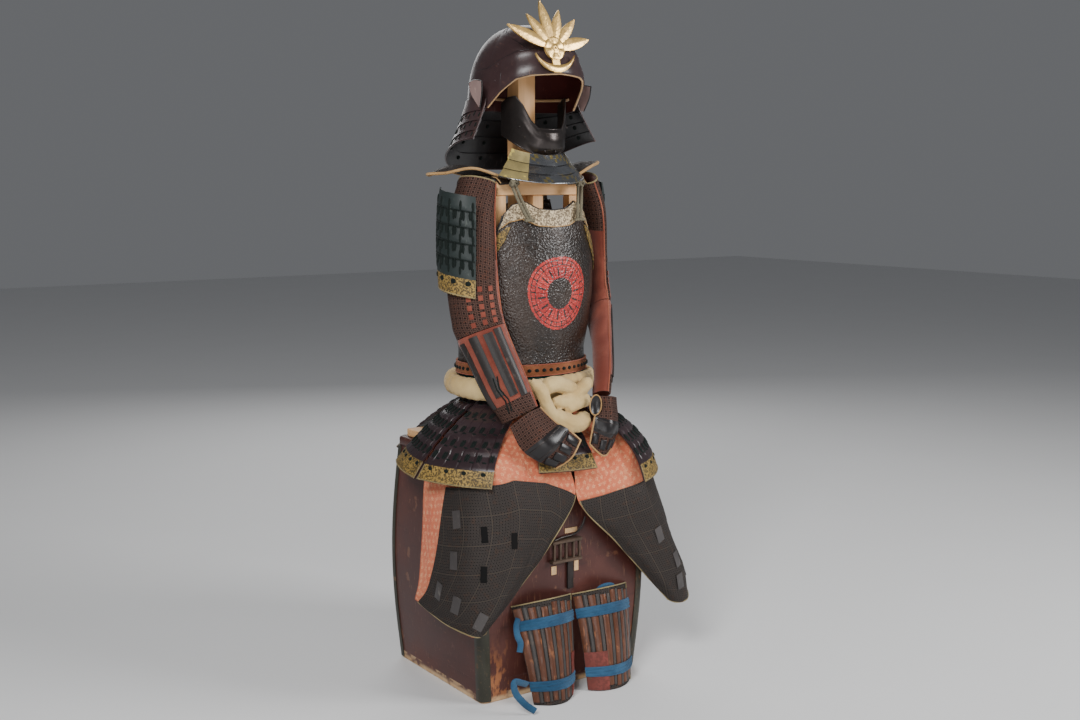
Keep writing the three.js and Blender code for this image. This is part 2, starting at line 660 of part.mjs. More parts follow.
// Shoulder guards: curved shields of five lames with a printed leather foot
const shields = {
  right: { x: -186, y: -92, radius: 57, top: [1112, 1092], low: [904, 880], from: 228, to: 344, lean: -3 },
  left: { x: 180, y: -14, radius: 39.5, top: [1136, 1122], low: [952, 930], from: 62, to: 170, lean: 3 },
};
const shieldRows = [...lameRows(5, 0, 0.8), 0.815, 0.84, 1];
const shieldLames = lameRelief(5, 2.8, 0, 0.8);
for (const [side, form] of Object.entries(shields)) {
  const surface = (u, w) => {
    const angle = radians(mix(form.from, form.to, w));
    const along = side === 'right' ? w : 1 - w;
    const z = mix(mix(form.top[0], form.top[1], along), mix(form.low[0], form.low[1], along), u);
    const r = form.radius + 4 * Math.sin(Math.PI * u);
    return point(form.x + form.lean * u + r * Math.sin(angle), form.y - r * Math.cos(angle), z);
  };
  const relief = (u) => (u > 0.81 ? 2.4 : shieldLames(u));
  add(`shoulder_guard_${side}`, 'leather', wall(surface, shieldRows, steps(8), { thick: 2.4, relief }));
}

// Helmet bowl, open underneath, with an arched opening over the face
const rimHeights = [[0, 1352], [30, 1348], [45, 1340], [62, 1313], [78, 1282], [90, 1278], [180, 1284]];
function bowl(u, w) {
  const degrees = 360 * w;
  const fromFront = Math.min(degrees, 360 - degrees);
  const rim = lookup(rimHeights, fromFront);
  const drop = (Math.PI / 2) * u;
  const spread = Math.sin(drop) ** 0.84 + 0.06 * smooth(0.8, 1, u) * (1 - smooth(40, 75, fromFront));
  const angle = radians(degrees);
  return point(
    HELMET.halfX * spread * Math.sin(angle),
    HELMET.centreY - HELMET.halfY * spread * Math.cos(angle),
    mix(rim, HELMET.top, Math.cos(drop) ** 0.85),
  );
}
add('helmet_bowl', 'lacquer', wall(bowl, [0, 0.14, 0.3, 0.46, 0.62, 0.78, 0.9, 1], steps(28), {
  thick: HELMET.wall, ring: true, pole: true,
}));

// Turned-back ears at the ends of the neck guard
for (const [side, sign] of [['right', -1], ['left', 1]]) {
  const ear = patch([
    [[sign * 124, -2, 1336], [sign * 132, -40, 1340], [sign * 143, -84, 1334]],
    [[sign * 126, -16, 1310], [sign * 131.4, -46, 1308], [sign * 141, -80, 1308]],
    [[sign * 130, -50, 1284], [sign * 132, -58, 1281], [sign * 137, -66, 1280]],
  ]);
  add(`helmet_ear_${side}`, 'lacquer', wall(ear, steps(4), steps(4), { thick: 2.4, side: -sign }));
}

// Neck guard: four separate lames that flare outwards and drop towards the back
function neckGuard(v, w) {
  const degrees = mix(76, 284, w);
  const fromBack = Math.abs(degrees - 180) / 104;
  const low = mix(1152, 1214, smooth(0.2, 1, fromBack));
  const angle = radians(degrees);
  const flare = v ** 1.15;
  return point(
    mix(122.2, 166, flare) * Math.sin(angle),
    HELMET.centreY - mix(137.2, 194, flare) * Math.cos(angle),
    mix(1300, low, v),
  );
}
const lameSpans = [[0, 0.29], [0.25, 0.54], [0.5, 0.79], [0.75, 1]];
lameSpans.forEach(([from, to], n) => {
  const tuck = 3.1;
  const lame = (u, w) => {
    const v = mix(from, to, u);
    const normal = normalOf(neckGuard, v, w, 1);
    return neckGuard(v, w).addScaledVector(normal, n ? -tuck * (1 - u) : 0);
  };
  add(`neck_lame_${n + 1}`, 'lacquer', wall(lame, [0, 1], steps(18), { thick: 2 }));
});

// Gilded crest: a crescent, a disc and a spray of long leaves on a flat bracket
function flatShape(outline, depth) {
  const shape = new THREE.Shape(outline.map(([x, z]) => new THREE.Vector2(x, z)));
  const settings = { depth, bevelEnabled: false, curveSegments: 10 };
  return new THREE.ExtrudeGeometry(shape, settings).rotateX(Math.PI / 2);
}
function leaf(length, width, lean) {
  const outline = [];
  for (const t of steps(6)) outline.push([-width * Math.sin(Math.PI * t) ** 0.8, length * t]);
  for (const t of steps(6).slice(1, -1).reverse()) {
    outline.push([width * Math.sin(Math.PI * t) ** 0.8, length * t]);
  }
  return flatShape(outline, 4).rotateY(radians(lean));
}
function crescent(radius, thick) {
  const outline = [];
  for (const t of steps(10)) {
    const angle = radians(mix(195, 345, t));
    outline.push([radius * Math.cos(angle), radius * Math.sin(angle)]);
  }
  for (const t of steps(10).slice(1, -1).reverse()) {
    const angle = radians(mix(195, 345, t));
    const inner = radius - thick * Math.sin(Math.PI * t);
    outline.push([inner * Math.cos(angle), inner * Math.sin(angle)]);
  }
  return flatShape(outline, 4);
}
const crestLeaves = [
  [120, 13, -68], [92, 12, -40], [104, 13, -12], [88, 12, 16], [92, 12, 44], [98, 13, 76],
];
const disc = new THREE.CylinderGeometry(25, 25, 5, 20).translate(0, -2.5, 0);
const bracket = block(-9, 9, -4, 0, -52, 6);
const crestParts = [
  ...crestLeaves.map(([length, width, lean]) => leaf(length, width, lean)),
  crescent(52, 16), disc, bracket,
];
const crest = joined(...crestParts).rotateX(radians(-14)).translate(-14, -161.4, 1402);
add('helmet_crest', 'gilt', crest);

// Half mask over the chin and cheeks
const maskTop = [[0, 1234], [24, 1236], [36, 1254], [48, 1286], [60, 1305], [74, 1302], [90, 1288]];
const maskLow = [[0, 1180], [30, 1183], [50, 1196], [70, 1212], [90, 1228]];
function mask(u, w) {
  const degrees = mix(-88, 88, w);
  const away = Math.abs(degrees);
  const z = mix(lookup(maskTop, away), lookup(maskLow, away), u);
  const chin = hump(away, 0, 34);
  const r = 1 + 0.07 * chin * Math.sin(Math.PI * Math.min(u * 1.3, 1)) - 0.28 * chin * smooth(0.72, 1, u);
  const angle = radians(degrees);
  return point(74 * r * Math.sin(angle), -50 - 84 * r * Math.cos(angle), z);
}
add('half_mask', 'iron', wall(mask, [0, 0.18, 0.4, 0.65, 0.85, 1], steps(18), { thick: 2.4 }));

// Throat guard: three lames hung under the mask
function throat(v, w) {
  const angle = radians(mix(-66, 66, w));
  return point(
    mix(72, 122, v ** 1.2) * Math.sin(angle),
    -50 - mix(74, 114, v ** 1.2) * Math.cos(angle),
    mix(1179.4, 1119, v) + 26 * (1 - Math.cos(angle)),
  );
}
[[0, 0.38], [0.32, 0.7], [0.64, 1]].forEach(([from, to], n) => {
  const tuck = 3.1;
  const lame = (u, w) => {
    const v = mix(from, to, u);
    const normal = normalOf(throat, v, w, 1);
    return throat(v, w).addScaledVector(normal, n ? -tuck * (1 - u) : 0);
  };
  add(`throat_lame_${n + 1}`, 'iron', wall(lame, [0, 1], steps(14), { thick: 2 }));
});

// Shin guards: splinted panels that stand on the floor and lean on the front of the chest
function shinGuard({ topX, lowX, topHalf, lowHalf, topZ, topY, lowY }) {
  return (u, w) => {
    const across = 2 * w - 1;
    const half = mix(topHalf, lowHalf, u ** 0.9);
    const swell = 1 - across * across;
    const z = mix(topZ - 9 * across * across + 3 * swell, 0, u);
    const y = mix(topY, lowY, u) - mix(34, 30, u) * swell - 6 * Math.sin(Math.PI * u);
    return point(mix(topX, lowX, u) + half * across, y, z);
  };
}
const shins = {
  right: { topX: -66, lowX: -66, topHalf: 78, lowHalf: 50, topZ: 222, topY: -188.7, lowY: -236 },
  left: { topX: 94, lowX: 88, topHalf: 74, lowHalf: 58, topZ: 220, topY: -188.7, lowY: -236 },
};
const splintCount = 8;
const shinColumns = [];
for (let n = 0; n < splintCount; n++) {
  shinColumns.push(n / splintCount, (n + 0.14) / splintCount, (n + 0.86) / splintCount);
}
shinColumns.push(1);
const splintLift = 2.6;
function shinRelief(u, w) {
  const part = (w * splintCount) % 1;
  return part > 0.1 && part < 0.9 ? splintLift : 0;
}
const shinTies = { high: [0.14, 0.26], low: [0.74, 0.86] };
for (const [side, form] of Object.entries(shins)) {
  const surface = shinGuard(form);
  const geometry = wall(surface, steps(4), shinColumns, { thick: 3, relief: shinRelief });
  const place = geometry.attributes.position;
  for (let i = 0; i < place.count; i++) place.setZ(i, place.getZ(i) < 2 ? 0 : place.getZ(i));
  add(`shin_guard_${side}`, 'splint', geometry);
  for (const [level, rows] of Object.entries(shinTies)) {
    const over = { thick: 2, lift: 3 + splintLift + SEAM + 0.2 };
    add(`shin_band_${level}_${side}`, 'indigo', wall(surface, rows, steps(12), over));
  }
}

// The loose end of the right shin guard's tie
const tieEnd = bar([[-134.5, -236.5, 50], [-158, -254, 64], [-186, -264, 76], [-184, -266, 52], [-166, -274, 26], [-146, -284, 9]], 7.6, 8, 12);
add('shin_tie_right', 'indigo', tieEnd);

export default armour;
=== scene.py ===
"""Dresses the armour's solids: lacquer, leather, mail, cloth, cords, wood and worn edges.

Sizes are millimetres unless a name says otherwise. The armour faces -Y, and "right" and "left" are the
wearer's own: right is -X. The tables repeat the sizes of the solids, so each fine piece lies on its own.
"""

import math

import bmesh
import bpy
import numpy as np
from bpy.props import FloatProperty, FloatVectorProperty, IntProperty, PointerProperty
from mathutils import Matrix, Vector


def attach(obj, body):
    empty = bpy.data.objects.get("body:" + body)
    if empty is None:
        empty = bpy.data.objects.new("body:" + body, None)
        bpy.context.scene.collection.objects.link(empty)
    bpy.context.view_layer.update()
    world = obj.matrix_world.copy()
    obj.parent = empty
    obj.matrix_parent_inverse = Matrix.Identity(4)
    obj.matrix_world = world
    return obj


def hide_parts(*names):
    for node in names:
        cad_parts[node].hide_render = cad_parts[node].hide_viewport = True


bl_info = {
    "name": "Samurai armour",
    "version": (1, 0, 0),
    "blender": (4, 5, 0),
    "location": "View3D > Sidebar > Armour",
    "description": "Builds the finishes, cords, cloth and plates of a set of old Japanese armour",
    "category": "Object",
}

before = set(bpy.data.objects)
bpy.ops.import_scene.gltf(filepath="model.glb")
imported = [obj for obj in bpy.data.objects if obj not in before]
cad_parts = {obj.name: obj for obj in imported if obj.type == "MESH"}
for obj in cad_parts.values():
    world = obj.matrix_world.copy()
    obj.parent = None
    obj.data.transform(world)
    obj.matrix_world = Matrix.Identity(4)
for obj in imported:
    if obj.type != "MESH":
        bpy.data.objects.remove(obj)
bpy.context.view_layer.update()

MM = 0.001
TURN = 2 * math.pi
BODY = "root"
# The gap that one dressed board keeps from the next
SEAM = 0.35
PHOTO_WIDTH = 1080
# How far to each side a slope is measured, as a share of the surface
PROBE = 0.003

# The photographed view: where the camera stands, which way it looks and its focal length in pixels
CAMERA_PLACE = (-1653.5, -2470.5, 1127.0)
CAMERA_TURN = 34.8
CAMERA_DIP = 7.82
FOCAL_PIXELS = 1310.0
SENSOR = 36.0


# Small maths on arrays
def clamp(value, low=0, high=1):
    return np.minimum(np.maximum(value, low), high)


def mix(a, b, t):
    return a + (b - a) * t


def smooth(low, high, value):
    t = clamp((value - low) / (high - low))
    return t * t * (3 - 2 * t)


def hump(value, centre, width):
    return np.exp(-(((value - centre) / width) ** 2))


def steps(count):
    return [i / count for i in range(count + 1)]


def fine(stops, largest):
    """The stops, with more between them so that no step is over the largest one."""
    values = [stops[0]]
    for low, high in zip(stops, stops[1:]):
        count = max(1, math.ceil((high - low) / largest - 1e-6))
        values.extend(low + (high - low) * k / count for k in range(1, count + 1))
    return values


def even(largest):
    return fine([0, 1], largest)


def round_turn(count):
    """Angles once round, without the last one."""
    return np.linspace(0, TURN, count, endpoint=False)


def lookup(table, key):
    keys, values = zip(*table)
    return np.interp(key, keys, values)


def points(x, y, z):
    return np.stack(np.broadcast_arrays(x, y, z), axis=-1).astype(float)


def unit(vectors):
    length = np.linalg.norm(vectors, axis=-1, keepdims=True)
    return vectors / np.maximum(length, 1e-9)


def through(values, t):
    """One smooth line through the values, with t running from 0 to 1."""
    values = np.asarray(values, float)
    last = len(values) - 1
    ends = [2 * values[:1] - values[1:2], values, 2 * values[-1:] - values[-2:-1]]
    padded = np.concatenate(ends)
    place = clamp(np.asarray(t, float)) * last
    i = np.minimum(place.astype(int), last - 1)
    f = place - i

    def pick(shift):
        if values.ndim < 3:
            return padded[i + shift]
        index = (i + shift)[None, ..., None]
        return np.take_along_axis(padded, index, axis=0)[0]

    if values.ndim > 1:
        f = f[..., None]
    before, a, b, after = (pick(shift) for shift in range(4))
    start = (b - before) / 2
    slope = (after - a) / 2
    return a + f * (start + f * (3 * (b - a) - 2 * start - slope + f * (2 * (a - b) + start + slope)))


def curve(stops, count):
    return through(stops, np.linspace(0, 1, count))


def patch(rows):
    """A smooth surface over rows of control points."""
    rows = np.asarray(rows, float)

    def surface(u, w):
        across = np.stack([through(row, w) for row in rows])
        return through(across, u)

    return surface


def ripple(place, scale, seed=0):
    """A soft unevenness from -1 to 1, the same on every run."""
    x, y, z = (place[..., k] * scale for k in range(3))
    total = np.sin(x + 1.7 * y + seed) + np.sin(1.3 * y - 0.8 * z + 2.1 * seed)
    total = total + np.sin(0.9 * z + 1.1 * x + 0.7 * seed) * np.sin(0.6 * x - 1.2 * z + seed)
    return total / 3


# Meshes
def make_piece(name, verts, faces, charts, slot, looks, replaces=(), sharp=32.0):
    """A piece in the object's own frame. looks names its finishes, and its chart is for weave and wear."""
    mesh = bpy.data.meshes.new(name)
    mesh.from_pydata((np.asarray(verts) * MM).tolist(), [], [list(face) for face in faces])
    if charts is not None:
        layer = mesh.uv_layers.new(name="cloth")
        layer.data.foreach_set("uv", (np.asarray(charts, float) * MM).ravel())
    build = bmesh.new()
    build.from_mesh(mesh)
    bmesh.ops.recalc_face_normals(build, faces=build.faces)
    build.to_mesh(mesh)
    build.free()
    mesh.shade_smooth()
    mesh.set_sharp_from_angle(angle=math.radians(sharp))
    piece = bpy.data.objects.new(name, mesh)
    bpy.context.scene.collection.objects.link(piece)
    for look in looks.split():
        mesh.materials.append(FINISHES[look])
    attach(piece, BODY)
    if replaces:
        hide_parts(*replaces)
    return piece


def apply_modifiers(piece):
    """Keeps what the modifiers make as the piece's own mesh."""
    evaluated = piece.evaluated_get(bpy.context.evaluated_depsgraph_get())
    mesh = bpy.data.meshes.new_from_object(evaluated)
    piece.modifiers.clear()
    piece.data = mesh


def read_rows(mesh, key):
    """One value of every vertex of a mesh, as rows of three."""
    values = np.empty(len(mesh.vertices) * 3)
    mesh.vertices.foreach_get(key, values)
    return values.reshape(-1, 3)


def chart_of(grid):
    """Lengths along and across a grid of points, from its middle column and its first row."""
    across = np.linalg.norm(np.diff(grid, axis=1), axis=-1)
    s = np.concatenate([np.zeros((len(grid), 1)), np.cumsum(across, axis=1)], axis=1)
    s = s - s[:, [s.shape[1] // 2]]
    down = np.linalg.norm(np.diff(grid, axis=0), axis=-1)
    t = np.concatenate([np.zeros((1, grid.shape[1])), np.cumsum(down, axis=0)])
    return np.stack([s, -t], axis=-1)


def crossed(us, ws):
    """Every pair of a place along and a place across, as two grids."""
    return np.meshgrid(np.asarray(us, float), np.asarray(ws, float), indexing="ij")


def slopes(surface, u, w):
    """The way along a surface and the way across it."""
    along = surface(clamp(u + PROBE), w) - surface(clamp(u - PROBE), w)
    across = surface(u, clamp(w + PROBE)) - surface(u, clamp(w - PROBE))
    return along, across


def outward(surface, u, w, side=1):
    return unit(np.cross(*slopes(surface, u, w))) * side


def shell_parts(inner, outer, ring=False, pole=False):
    """Vertices, faces and charts of a wall between two grids of points."""
    rows, columns = inner.shape[:2]
    kept = columns - 1 if ring else columns
    verts = np.concatenate([inner[:, :kept].reshape(-1, 3), outer[:, :kept].reshape(-1, 3)])
    chart = chart_of(outer)
    faces = []
    charts = []

    def at(side, i, j):
        return side * rows * kept + i * kept + (0 if pole and i == 0 else j % kept)

    def quad(*corners):
        ids = [at(*corner) for corner in corners]
        keep = [k for k in range(4) if ids[k] not in ids[:k]]
        faces.append([ids[k] for k in keep])
        charts.extend(chart[corners[k][1], corners[k][2]] for k in keep)

    for j in range(columns - 1):
        for i in range(rows - 1):
            quad((1, i, j), (1, i + 1, j), (1, i + 1, j + 1), (1, i, j + 1))
            quad((0, i, j), (0, i, j + 1), (0, i + 1, j + 1), (0, i + 1, j))
        if not pole:
            quad((0, 0, j), (1, 0, j), (1, 0, j + 1), (0, 0, j + 1))
        end = rows - 1
        quad((0, end, j), (0, end, j + 1), (1, end, j + 1), (1, end, j))
    if not ring:
        last = columns - 1
        for i in range(rows - 1):
            quad((0, i, 0), (0, i + 1, 0), (1, i + 1, 0), (1, i, 0))
            quad((0, i, last), (1, i, last), (1, i + 1, last), (0, i + 1, last))
    return verts, faces, charts


def wall(name, surface, us, ws, slot, looks, thick=2.0, lift=0.0, side=1, relief=None,
         ring=False, pole=False, replaces=(), zones=None, sharp=32.0):
    """A wall on a surface. zones gives each face's finish from its u, its w and whether it is outside."""
    u, w = crossed(us, ws)
    grid = surface(u, w)
    normal = outward(surface, u, w, side)
    raised = relief(u, w) if relief else np.zeros_like(u)
    inner = grid + normal * lift
    outer = grid + normal * (lift + thick + raised)[..., None]
    verts, faces, charts = shell_parts(inner, outer, ring, pole)
    piece = make_piece(name, verts, faces, charts, slot, looks, replaces, sharp)
    if zones:
        kept = len(ws) - 1 if ring else len(ws)
        row_of, column_of = (grid.ravel() for grid in np.indices((len(us), kept)))
        count = len(row_of)
        for polygon, face in zip(piece.data.polygons, faces):
            ids = [v % count for v in face]
            place_u = sum(us[row_of[v]] for v in ids) / len(ids)
            place_w = ws[min(column_of[v] for v in ids)]
            polygon.material_index = int(zones(place_u, place_w, min(face) >= count))
    return piece


def hoops(rows, sides, closed=False):
    """Faces between rings of points, one ring after the other."""
    faces = []
    for i in range(rows if closed else rows - 1):
        low, high = i * sides, (i + 1) % rows * sides
        for k in range(sides):
            m = (k + 1) % sides
            faces.append((low + k, low + m, high + m, high + k))
    return faces


def hoop_charts(round_places, long_places):
    """The chart of such faces, from places round a ring and along the rings."""
    charts = []
    for start, end in zip(long_places, long_places[1:]):
        for low, high in zip(round_places, round_places[1:]):
            charts.extend([(low, start), (high, start), (high, end), (low, end)])
    return charts


def caps(rows, sides):
    """The two faces that close a stack of rings."""
    return [list(range(sides - 1, -1, -1)), [(rows - 1) * sides + k for k in range(sides)]]


def loft(name, outlines, slot, looks, replaces=(), sharp=40.0):
    """A solid through closed outlines, one after the other, closed at both ends."""
    grid = np.asarray(outlines, float)
    rows, columns = grid.shape[:2]
    looped = np.concatenate([grid, grid[:, :1]], axis=1)
    chart = chart_of(looped)
    verts = grid.reshape(-1, 3)
    charts = []
    for i in range(rows - 1):
        for j in range(columns):
            charts.extend([chart[i, j], chart[i, j + 1], chart[i + 1, j + 1], chart[i + 1, j]])
    ends = caps(rows, columns)
    charts.extend(verts[v][:2] for face in ends for v in face)
    return make_piece(name, verts, hoops(rows, columns) + ends, charts, slot, looks, replaces, sharp)


def tube_parts(path, radius, sides=8, closed=False, flat=1.0, up=(0, 0, 1)):
    """A round or flattened bar along a line of points."""
    path = np.asarray(path, float)
    if closed:
        tangent = unit(np.roll(path, -1, axis=0) - np.roll(path, 1, axis=0))
    else:
        tangent = unit(np.gradient(path, axis=0))
    side = unit(np.cross(tangent, np.asarray(up, float)))
    normal = np.cross(side, tangent)
    radii = np.broadcast_to(np.asarray(radius, float), (len(path),))[:, None]
    rings = []
    for k in range(sides):
        angle = TURN * k / sides
        rings.append(path + radii * (side * math.cos(angle) + normal * math.sin(angle) * flat))
    grid = np.stack(rings, axis=1)
    count = len(path)
    girth = TURN * float(radii[0, 0]) / sides
    length = np.concatenate([[0], np.cumsum(np.linalg.norm(np.diff(path, axis=0), axis=1))])
    if closed:
        length = np.append(length, length[-1])
    faces = hoops(count, sides, closed)
    charts = hoop_charts([k * girth for k in range(sides + 1)], length)
    if not closed:
        ends = caps(count, sides)
        faces += ends
        charts.extend((v % sides * girth, length[v // sides]) for face in ends for v in face)
    return grid.reshape(-1, 3), faces, charts


def gather(parts):
    """Several sets of vertices, faces and charts as one."""
    verts = []
    faces = []
    charts = []
    start = 0
    for part_verts, part_faces, part_charts in parts:
        verts.append(part_verts)
        faces.extend([v + start for v in face] for face in part_faces)
        charts.extend(part_charts)
        start += len(part_verts)
    return np.concatenate(verts), faces, charts


def tubes(name, paths, radius, slot, looks, sides=8, closed=False, flat=1.0, replaces=(),
          up=(0, 0, 1)):
    parts = [tube_parts(path, radius, sides, closed, flat, up) for path in paths]
    return make_piece(name, *gather(parts), slot, looks, replaces, 60)


def line_on(surface, us, ws, lift=0.0, side=1, count=40):
    """Points on a surface from one pair of places to another, raised by the lift."""
    u = np.interp(np.linspace(0, 1, count), np.linspace(0, 1, len(us)), us)
    w = np.interp(np.linspace(0, 1, count), np.linspace(0, 1, len(ws)), ws)
    return surface(u, w) + outward(surface, u, w, side) * lift


def line_round(surface, u, count):
    """A closed line round a surface at one place along it."""
    return surface(np.full(count, float(u)), np.linspace(0, 1, count, endpoint=False))


def studs(name, surface, spots, size, slot, looks, lift=0.0, side=1, turn=0.0, square=False):
    """Small domes or plates on a surface. size is across, along and height."""
    u = np.asarray([spot[0] for spot in spots], float)
    w = np.asarray([spot[1] for spot in spots], float)
    along, across = (unit(way) for way in slopes(surface, u, w))
    normal = unit(np.cross(along, across)) * side
    across = unit(np.cross(normal, along))
    across, along = (
        across * math.cos(turn) + along * math.sin(turn),
        along * math.cos(turn) - across * math.sin(turn),
    )
    base = surface(u, w) + normal * lift
    if square:
        outline = [(-1, -1), (1, -1), (1, 1), (-1, 1)]
        levels = [(1.0, 0.0), (1.0, 0.7), (0.86, 1.0)]
    else:
        outline = [(math.cos(a), math.sin(a)) for a in (TURN * k / 8 for k in range(8))]
        levels = [(1.0, 0.0), (0.94, 0.45), (0.7, 0.82), (0.3, 1.0)]
    sides = len(outline)
    parts = []
    for n in range(len(u)):
        rings = []
        for shrink, rise in levels:
            for x, y in outline:
                rings.append(base[n] + across[n] * x * size[0] / 2 * shrink
                             + along[n] * y * size[1] / 2 * shrink + normal[n] * rise * size[2])
        faces = hoops(len(levels), sides) + caps(len(levels), sides)
        charts = [(0.0, 0.0) for face in faces for _ in face]
        parts.append((np.asarray(rings), faces, charts))
    return make_piece(name, *gather(parts), slot, looks, (), 50)


def knots_on(name, surface, spots, size, lift=0.0, side=1):
    """Knots and laces of dark green cord."""
    studs(name, surface, spots, size, "mail", "green_cord", lift, side)


def cords_on(name, surface, runs, lift, count, radius, slot, looks, sides=8, side=1):
    """Cords laid on a surface. Each run is its places along and its places across."""
    paths = [line_on(surface, us, ws, lift, side, count) for us, ws in runs]
    tubes(name, paths, radius, slot, looks, sides)


def rounded_outline(half_x, half_y, centre_y, radius, z, corner=6):
    outline = []
    for sign_x, sign_y, start in ((1, 1, 0), (-1, 1, 90), (-1, -1, 180), (1, -1, 270)):
        for k in range(corner + 1):
            angle = math.radians(start + 90 * k / corner)
            outline.append((sign_x * (half_x - radius) + radius * math.cos(angle),
                            centre_y + sign_y * (half_y - radius) + radius * math.sin(angle), z))
    return outline


def block_parts(low, high, soft=1.6):
    """A block with softened edges."""
    low = np.asarray(low, float)
    high = np.asarray(high, float)
    centre = (low + high) / 2
    half = (high - low) / 2
    outlines = []
    for inset, z in ((soft, low[2]), (0, low[2] + soft), (0, high[2] - soft), (soft, high[2])):
        ring = rounded_outline(half[0] - inset, half[1] - inset, 0, soft * 1.2, z, 2)
        outlines.append([(x + centre[0], y + centre[1], level) for x, y, level in ring])
    rows, columns = len(outlines), len(outlines[0])
    verts = np.asarray(outlines).reshape(-1, 3)
    faces = hoops(rows, columns) + caps(rows, columns)
    charts = [verts[v][:2] for face in faces for v in face]
    return verts, faces, charts


# Shader nodes
class Wire:
    """One socket of a material. Python sums on wires add the Math nodes."""

    def __init__(self, finish, socket):
        self.finish = finish
        self.socket = socket

    def math(self, operation, *others):
        values = dict(enumerate((self, *others)))
        return self.finish.node("ShaderNodeMath", {"operation": operation}, values)

    def __add__(self, other):
        return self.math("ADD", other)

    def __radd__(self, other):
        return self.math("ADD", other)

    def __sub__(self, other):
        return self.math("SUBTRACT", other)

    def __rsub__(self, other):
        return self.math("MULTIPLY_ADD", -1.0, other)

    def __mul__(self, other):
        return self.math("MULTIPLY", other)

    def __truediv__(self, other):
        return self.math("DIVIDE", other)

    def __pow__(self, other):
        return self.math("POWER", other)

    def sine(self):
        return self.math("SINE")

    def whole(self):
        return self.math("FLOOR")

    def part(self):
        return self.math("FRACT")

    def size(self):
        return self.math("ABSOLUTE")

    def over(self, other):
        return self.math("GREATER_THAN", other)

    def under(self, other):
        return self.math("LESS_THAN", other)

    def high(self, other):
        return self.math("MAXIMUM", other)

    def fade(self, low, high):
        """0 up to low, 1 from high, and smooth between them. low may be over high."""
        settings = {"interpolation_type": "SMOOTHSTEP", "clamp": True}
        turned = low > high
        values = {0: self, 1: min(low, high), 2: max(low, high), 3: float(turned), 4: float(not turned)}
        return self.finish.node("ShaderNodeMapRange", settings, values)


class Finish:
    """A material, with short ways to the nodes that it is made of."""

    def __init__(self, name):
        self.material = bpy.data.materials.new(name)
        self.material.use_nodes = True
        self.tree = self.material.node_tree
        self.tree.nodes.clear()
        self.place = self.node("ShaderNodeTexCoord", output="Object")
        self.chart = self.node("ShaderNodeUVMap", {"uv_map": "cloth"})

    def node(self, kind, settings=None, values=None, output=0):
        """Adds a node, sets it up and gives back one of its outputs."""
        made = self.tree.nodes.new(kind)
        for key, value in (settings or {}).items():
            if key == "stops":
                self.set_stops(made.color_ramp, value)
            else:
                setattr(made, key, value)
        for key, value in (values or {}).items():
            if isinstance(value, Wire):
                self.tree.links.new(value.socket, made.inputs[key])
            else:
                made.inputs[key].default_value = value
        return Wire(self, made.outputs[output])

    def set_stops(self, ramp, stops):
        while len(ramp.elements) < len(stops):
            ramp.elements.new(0.5)
        for element, (place, color) in zip(ramp.elements, stops):
            element.position = place
            element.color = (*color, 1.0)

    def axes(self, vector=None):
        vector = vector or self.place
        split = self.node("ShaderNodeSeparateXYZ", None, {0: vector})
        outputs = split.socket.node.outputs
        return [Wire(self, outputs[k]) for k in range(3)]

    def scaled(self, scale, vector=None):
        values = {0: vector or self.place, 1: scale}
        return self.node("ShaderNodeVectorMath", {"operation": "MULTIPLY"}, values)

    def noise(self, scale, detail=3.0, vector=None, rough=0.55):
        if not isinstance(scale, (int, float)):
            vector, scale = self.scaled(scale, vector), 1.0
        values = {"Vector": vector or self.place, "Scale": scale, "Detail": detail, "Roughness": rough}
        return self.node("ShaderNodeTexNoise", {"noise_dimensions": "3D"}, values)

    def cells(self, scale, vector=None, feature="F1", output="Distance"):
        settings = {"feature": feature, "voronoi_dimensions": "3D"}
        values = {"Vector": vector or self.place, "Scale": scale}
        return self.node("ShaderNodeTexVoronoi", settings, values, output)

    def blend(self, factor, a, b, mode="MIX"):
        """A colour between a and b."""
        settings = {"data_type": "RGBA", "blend_type": mode}
        values = {0: factor}
        for key, value in ((6, a), (7, b)):
            values[key] = value if isinstance(value, Wire) else (*value, 1.0)
        return self.node("ShaderNodeMix", settings, values, 2)

    def bump(self, height, distance, strength=1.0, under=None):
        values = {"Height": height, "Distance": distance, "Strength": strength}
        if under:
            values["Normal"] = under
        return self.node("ShaderNodeBump", None, values)

    def done(self, base, roughness, metallic=0.0, normal=None, coat=0.0, sheen=0.0, gleam=0.5):
        values = {"Base Color": base if isinstance(base, Wire) else (*base, 1.0), "Roughness": roughness,
                  "Metallic": metallic, "Coat Weight": coat, "Coat Roughness": 0.25,
                  "Sheen Weight": sheen, "Sheen Roughness": 0.5, "Specular IOR Level": gleam}
        if normal:
            values["Normal"] = normal
        shader = self.node("ShaderNodeBsdfPrincipled", None, values)
        made = self.tree.nodes.new("ShaderNodeOutputMaterial")
        self.tree.links.new(shader.socket, made.inputs["Surface"])
        return self.material


# Finishes
def lacquer(name, deep, worn, gloss=0.32):
    """Old satin lacquer over iron: cloudy, scratched and rubbed."""
    m = Finish(name)
    cloud = m.noise(9, 4).fade(0.35, 0.7)
    rub = m.noise(38, 6, rough=0.7).fade(0.56, 0.72)
    scratch = m.noise((260, 24, 40), 2).fade(0.66, 0.72)
    speck = m.noise(420, 2).fade(0.68, 0.74)
    color = m.blend(cloud, deep, [c * 1.45 for c in deep])
    color = m.blend(rub * 0.5, color, worn)
    color = m.blend((scratch * 0.35).high(speck * 0.4), color, [c * 1.6 for c in worn])
    uneven = m.noise(60, 3)
    normal = m.bump(uneven + scratch * 0.15, 0.0007, 0.5)
    return m.done(color, cloud * 0.12 + gloss + rub * 0.18, 0.0, normal, coat=0.1, gleam=0.32)


